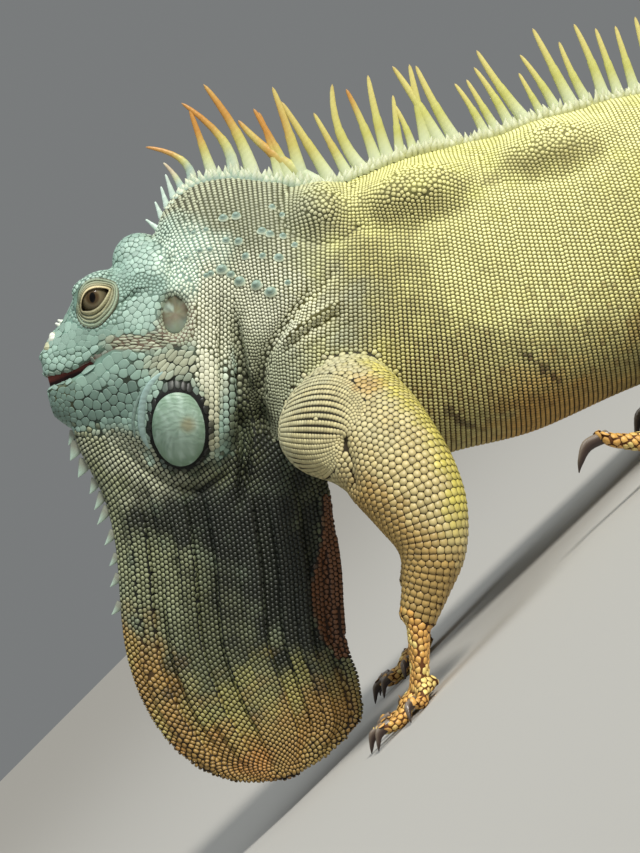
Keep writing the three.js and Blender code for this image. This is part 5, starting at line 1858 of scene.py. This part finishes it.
def make_nostrils(skin_surface):
    """Knobs round the nostrils and the small points on the snout."""
    made = []
    for side in SIDES.values():
        knobs = [(NOSTRIL[0], 3.9, "#dfe5d6"), (NOSTRIL[1], 3.7, "#b5b795")]
        spots = skin_surface.drop(np.array([(x, side * 7.0, z) for (x, z), _, _ in knobs]))
        for (_, radius, code), place, normal in zip(knobs, *spots[:2]):
            radii = (radius * 0.85, radius * 0.8, radius * 1.2)
            knob = lump("nostril_knobs", place - normal * radius * 0.62, radii, 0.5)
            points = points_of(knob)
            set_points(knob, points + normal * (0.3 * wobble(points, 4, 47))[:, None])
            paint_attribute(knob, blend(code, "#8c8a6c", smooth(0.0, 1.2, wobble(points, 3, 48)) * 0.6))
            made.append(knob)
        tips = skin_surface.drop(np.array([(x, side * 4.0, z) for x, z in SNOUT_POINTS]))
        for place, normal in zip(*tips[:2]):
            foot, way = place - normal * 0.8, normal + (-0.3, 0, 0.3)
            point = tube("snout_point", spine_rings(foot, way, (0.8, 0, 0.5), 2.4, 1.5, 1.3, 0, 8))
            paint_attribute(point, srgb("#e4ebdd"))
            made.append(point)
    return join("nostril_knobs", made)


# ---------------------------------------------------------------- materials
class Material:
    """A procedural material on one Principled shader."""

    def __init__(self, name, **settings):
        self.material = bpy.data.materials.new(name)
        self.material.use_nodes = True
        self.nodes = self.material.node_tree.nodes
        self.links = self.material.node_tree.links
        self.shader = self.nodes["Principled BSDF"]
        for socket, value in settings.items():
            self.shader.inputs[socket.replace("_", " ")].default_value = value

    def add(self, kind, inputs=(), **settings):
        """Adds a node; inputs are values, or (node, output name) to link."""
        node = self.nodes.new(kind)
        for key, value in settings.items():
            setattr(node, key, value)
        for socket, value in dict(inputs).items():
            if isinstance(value, tuple) and isinstance(value[0], bpy.types.Node):
                self.links.new(value[0].outputs[value[1]], node.inputs[socket])
            else:
                node.inputs[socket].default_value = value
        return node

    def to_shader(self, socket, node, output):
        self.links.new(node.outputs[output], self.shader.inputs[socket])


def colour_of(code):
    return (*srgb(code), 1)


def painted(name, texture, output, inputs, relief, invert=False, bands=None, **settings):
    """A material with the stored colours. One texture raises its surface: relief is strength and depth."""
    made = Material(name, **settings)
    paint = made.add("ShaderNodeAttribute", attribute_name="markings")
    place = made.add("ShaderNodeTexCoord")
    layout = {"bands_direction": bands} if bands else {}
    grain = made.add(texture, {"Vector": (place, "Object"), **inputs}, **layout)
    bump = made.add("ShaderNodeBump",
                    {"Height": (grain, output), "Strength": relief[0], "Distance": relief[1]}, invert=invert)
    made.to_shader("Base Color", paint, "Color")
    made.to_shader("Normal", bump, "Normal")
    return made.material


def horn_material(name, roughness, ring):
    # Horn with fine growth rings across it: gives spines and claws their layered look.
    return painted(name, "ShaderNodeTexWave", "Fac", {"Scale": 0.3 / ring, "Distortion": 3.0, "Detail": 2.0},
                   (0.16, 0.0002), bands="Z", Roughness=roughness, IOR=1.55)


def eye_material():
    # Wet cornea over an olive-brown iris with an upright pupil: the glossy point that brings life.
    made = Material("wet_cornea_iris", Roughness=0.3, IOR=1.2, Coat_Weight=1.0, Coat_Roughness=0.03,
                    Coat_IOR=1.28)
    middle = (GAZE[0] * MM, 0.0, GAZE[1] * MM)
    place = made.add("ShaderNodeTexCoord")
    flat = made.add("ShaderNodeVectorMath", {0: (place, "Object"), 1: middle}, operation="SUBTRACT")
    iris = made.add("ShaderNodeVectorMath", {0: (flat, "Vector"), 1: (1000.0, 0.0, 1000.0)},
                    operation="MULTIPLY")
    turned = made.add("ShaderNodeVectorRotate", {"Vector": (iris, "Vector"), "Angle": math.radians(-45)},
                      rotation_type="Y_AXIS")
    narrow = made.add("ShaderNodeVectorMath", {0: (turned, "Vector"), 1: (1.72, 0.0, 1.0)},
                      operation="MULTIPLY")
    ring = made.add("ShaderNodeVectorMath", {0: (iris, "Vector")}, operation="LENGTH")
    slit = made.add("ShaderNodeVectorMath", {0: (narrow, "Vector")}, operation="LENGTH")
    grain = made.add("ShaderNodeTexNoise", {"Vector": (place, "Object"), "Scale": 1 / 0.0008, "Detail": 4.0})
    shade = made.add("ShaderNodeMapRange", {"Value": (ring, "Value"), "From Max": 10.0})
    ramp = made.add("ShaderNodeValToRGB", {"Fac": (shade, "Result")})
    stops = ((0.0, "#3f301d"), (0.3, "#54442c"), (0.42, "#82765a"), (0.6, "#676046"), (0.78, "#3b3426"),
             (1.0, "#241e16"))
    for spot, code in stops[1:-1]:
        ramp.color_ramp.elements.new(spot).color = colour_of(code)
    for end in (0, -1):
        ramp.color_ramp.elements[end].color = colour_of(stops[end][1])
    fleck = made.add("ShaderNodeMixRGB", {"Fac": 0.35, "Color1": (ramp, "Color"), "Color2": (grain, "Color")},
                     blend_type="MULTIPLY")
    open_pupil = made.add("ShaderNodeMapRange", {"Value": (slit, "Value"), "From Min": 2.5, "From Max": 3.0})
    dark = made.add("ShaderNodeMixRGB", {"Fac": (open_pupil, "Result"), "Color1": colour_of("#050403"),
                                        "Color2": (fleck, "Color")})
    made.to_shader("Base Color", dark, "Color")
    return made.material


def eardrum_material():
    # Thin taut membrane: pale, a little shiny, slightly cloudy.
    made = Material("eardrum_membrane", Roughness=0.7, IOR=1.3)
    paint = made.add("ShaderNodeAttribute", attribute_name="markings")
    place = made.add("ShaderNodeTexCoord")
    cloud = made.add("ShaderNodeTexNoise", {"Vector": (place, "Object"), "Scale": 1 / 0.005, "Detail": 3.0})
    tint = made.add("ShaderNodeMixRGB", {"Fac": 0.25, "Color1": (paint, "Color"), "Color2": (cloud, "Color")},
                    blend_type="MULTIPLY")
    made.to_shader("Base Color", tint, "Color")
    return made.material


def mouth_material():
    # Moist lining of the mouth: dark pink with a wet sheen.
    made = Material("mouth_lining_moist", Roughness=0.3, IOR=1.38)
    place = made.add("ShaderNodeTexCoord")
    cloud = made.add("ShaderNodeTexNoise", {"Vector": (place, "Object"), "Scale": 1 / 0.006, "Detail": 3.0})
    ramp = made.add("ShaderNodeValToRGB", {"Fac": (cloud, "Fac")})
    ramp.color_ramp.elements[0].color = colour_of("#4d1f1a")
    ramp.color_ramp.elements[1].color = colour_of("#8d4b40")
    rise = (math.sin(HEAD_PITCH), 0.0, math.cos(HEAD_PITCH))
    level = (MOUTH_CORNER[0] * rise[0] + MOUTH_CORNER[1] * rise[2]) * MM
    height = made.add("ShaderNodeVectorMath", {0: (place, "Object"), 1: rise}, operation="DOT_PRODUCT")
    lit = made.add("ShaderNodeMapRange", {"Value": (height, "Value"), "From Min": level - 0.0046,
                                          "From Max": level - 0.0028})
    shade = made.add("ShaderNodeMixRGB", {"Fac": (lit, "Result"), "Color1": colour_of("#1b0c0a"),
                                         "Color2": (ramp, "Color")})
    made.to_shader("Base Color", shade, "Color")
    return made.material


def dress(piece, material, slot, *nodes):
    """Gives a piece its material, its body and the frame nodes it stands for."""
    piece.data.materials.clear()
    piece.data.materials.append(material)
    choose(piece)
    bpy.ops.object.shade_smooth()
    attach(piece, "root")
    if nodes:
        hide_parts(*nodes)


# ---------------------------------------------------------------- the whole animal
# Matt wrinkled hide between the scales: gives the eye the dark, soft joints.
hide = painted("wrinkled_hide_matt", "ShaderNodeTexNoise", "Fac", {"Scale": 1 / 0.0012, "Detail": 3.0},
               (0.35, 0.0003), Roughness=0.68, IOR=1.4)
# Dry horny scales with a satin sheen: each one catches its own small highlight.
horn_scales = painted("keratin_scales_satin", "ShaderNodeTexNoise", "Fac",
                      {"Scale": 1 / 0.0007, "Detail": 4.0}, (0.25, 0.00012), Roughness=0.46, IOR=1.55)
# Soft granular lid skin: fine grain under a faint moist sheen.
lid_skin = painted("lid_skin_soft", "ShaderNodeTexVoronoi", "Distance", {"Scale": 1 / 0.0009}, (0.6, 0.0003),
                   invert=True, Roughness=0.55, IOR=1.42)
# One broad smooth scale: a satin sheet with faint growth ridges.
plate_horn = painted("cheek_shield_satin", "ShaderNodeTexWave", "Fac",
                     {"Scale": 0.3 / 0.0016, "Distortion": 6.0, "Detail": 3.0}, (0.3, 0.0003),
                     bands="DIAGONAL", Roughness=0.42, IOR=1.5)
finder = Places()
skin = make_skin(finder)
skin_surface = SkinSurface(skin)
coat = make_coat(make_seeds(skin_surface, finder), finder)
paint_attribute(skin, markings(skin_surface.points, *finder.find(skin_surface.points))[1])

FLESH_WORDS = ("head", "lower", "neck", "torso", "tail", "dewlap", "upper", "forearm", "thigh", "shank",
               "hand", "foot")
flesh_nodes = [name for name in frame["nodes"] if name.split("_")[0] in FLESH_WORDS and "claw" not in name]
dress(skin, hide, "trunk_skin", *flesh_nodes)
for piece in coat:
    dress(piece, horn_scales, "trunk_skin")
dress(make_crest(), horn_material("spine_horn_satin", 0.42, 0.0026), "trunk_skin")
dress(make_crest_fringe(), horn_material("fringe_horn_matt", 0.5, 0.0014), "trunk_skin")
dress(make_throat_spines(), horn_material("throat_spine_horn", 0.45, 0.0012), "dewlap_skin")
dress(make_tubercles(skin_surface), horn_material("tubercle_horn", 0.42, 0.002), "neck_skin")
claw_horn = horn_material("claw_horn_polished", 0.3, 0.0011)
for name, piece in make_claws().items():
    dress(piece, claw_horn, "claw", name)
eardrum = eardrum_material()
for name, piece in make_ears_and_shields(skin_surface).items():
    shield = name.startswith("shield")
    dress(piece, plate_horn if shield else eardrum, "cheek_plate" if shield else "eardrum", name)
dress(make_cheek_plates(skin_surface), plate_horn, "head_skin")
dress(make_nostrils(skin_surface), plate_horn, "head_skin")
cornea = eye_material()
for name, piece in make_eyes(skin_surface).items():
    if name.startswith("eyelids"):
        dress(piece, lid_skin, "head_skin")
    else:
        dress(piece, cornea, "eye", name)
frame["nodes"]["mouth_lining"].data.materials.clear()
frame["nodes"]["mouth_lining"].data.materials.append(mouth_material())

# ---------------------------------------------------------------- floor, light and camera
deselect()
bpy.ops.mesh.primitive_circle_add(vertices=96, radius=14, fill_type="NGON", location=(0, 0, 0))
floor = bpy.context.active_object
floor.name = "studio_floor"
# Pale matt paper: catches a soft shadow and nothing else.
paper = Material("studio_paper_matt", Base_Color=colour_of("#b5b3ae"), Roughness=0.9)
floor.data.materials.append(paper.material)


def area_light(name, place, target, size, power, tint=(1, 1, 1)):
    light = bpy.data.lights.new(name, "AREA")
    light.shape, light.size, light.energy, light.color = "DISK", size, power, tint
    lamp = bpy.data.objects.new(name, light)
    lamp.location = place
    lamp.rotation_euler = (Vector(target) - Vector(place)).to_track_quat("-Z", "Y").to_euler()
    bpy.context.scene.collection.objects.link(lamp)


MIDDLE = (-0.2, 0, 0.14)
area_light("sky", (-0.1, -0.5, 2.4), MIDDLE, 2.4, 30, (0.92, 0.97, 1.0))
sun = bpy.data.lights.new("key", "SUN")
sun.energy, sun.angle, sun.color = 3.3, math.radians(12), (1.0, 0.97, 0.9)
key = bpy.data.objects.new("key", sun)
key.rotation_euler = Vector((-1.0, 0.95, -0.95)).to_track_quat("-Z", "Y").to_euler()
bpy.context.scene.collection.objects.link(key)
world = bpy.data.worlds.new("studio")
world.use_nodes = True
world.node_tree.nodes["Background"].inputs["Color"].default_value = colour_of("#dfe3e4")
world.node_tree.nodes["Background"].inputs["Strength"].default_value = 0.26
bpy.context.scene.world = world
bpy.context.scene.view_settings.view_transform = "Standard"

camera_data = bpy.data.cameras.new("camera")
camera_data.sensor_fit = "HORIZONTAL"
camera_data.angle = 2 * math.atan(HALF_VIEW / -CAMERA[1])
camera_data.clip_start, camera_data.clip_end = 0.05, 60
camera = bpy.data.objects.new("camera", camera_data)
right, up, back = Vector((ROOT_HALF, 0, -ROOT_HALF)), Vector((ROOT_HALF, 0, ROOT_HALF)), Vector((0, -1, 0))
turned = Matrix((right, up, back)).transposed().to_4x4()
camera.matrix_world = Matrix.Translation(Vector(CAMERA) * MM) @ turned
bpy.context.scene.collection.objects.link(camera)
bpy.context.scene.camera = camera
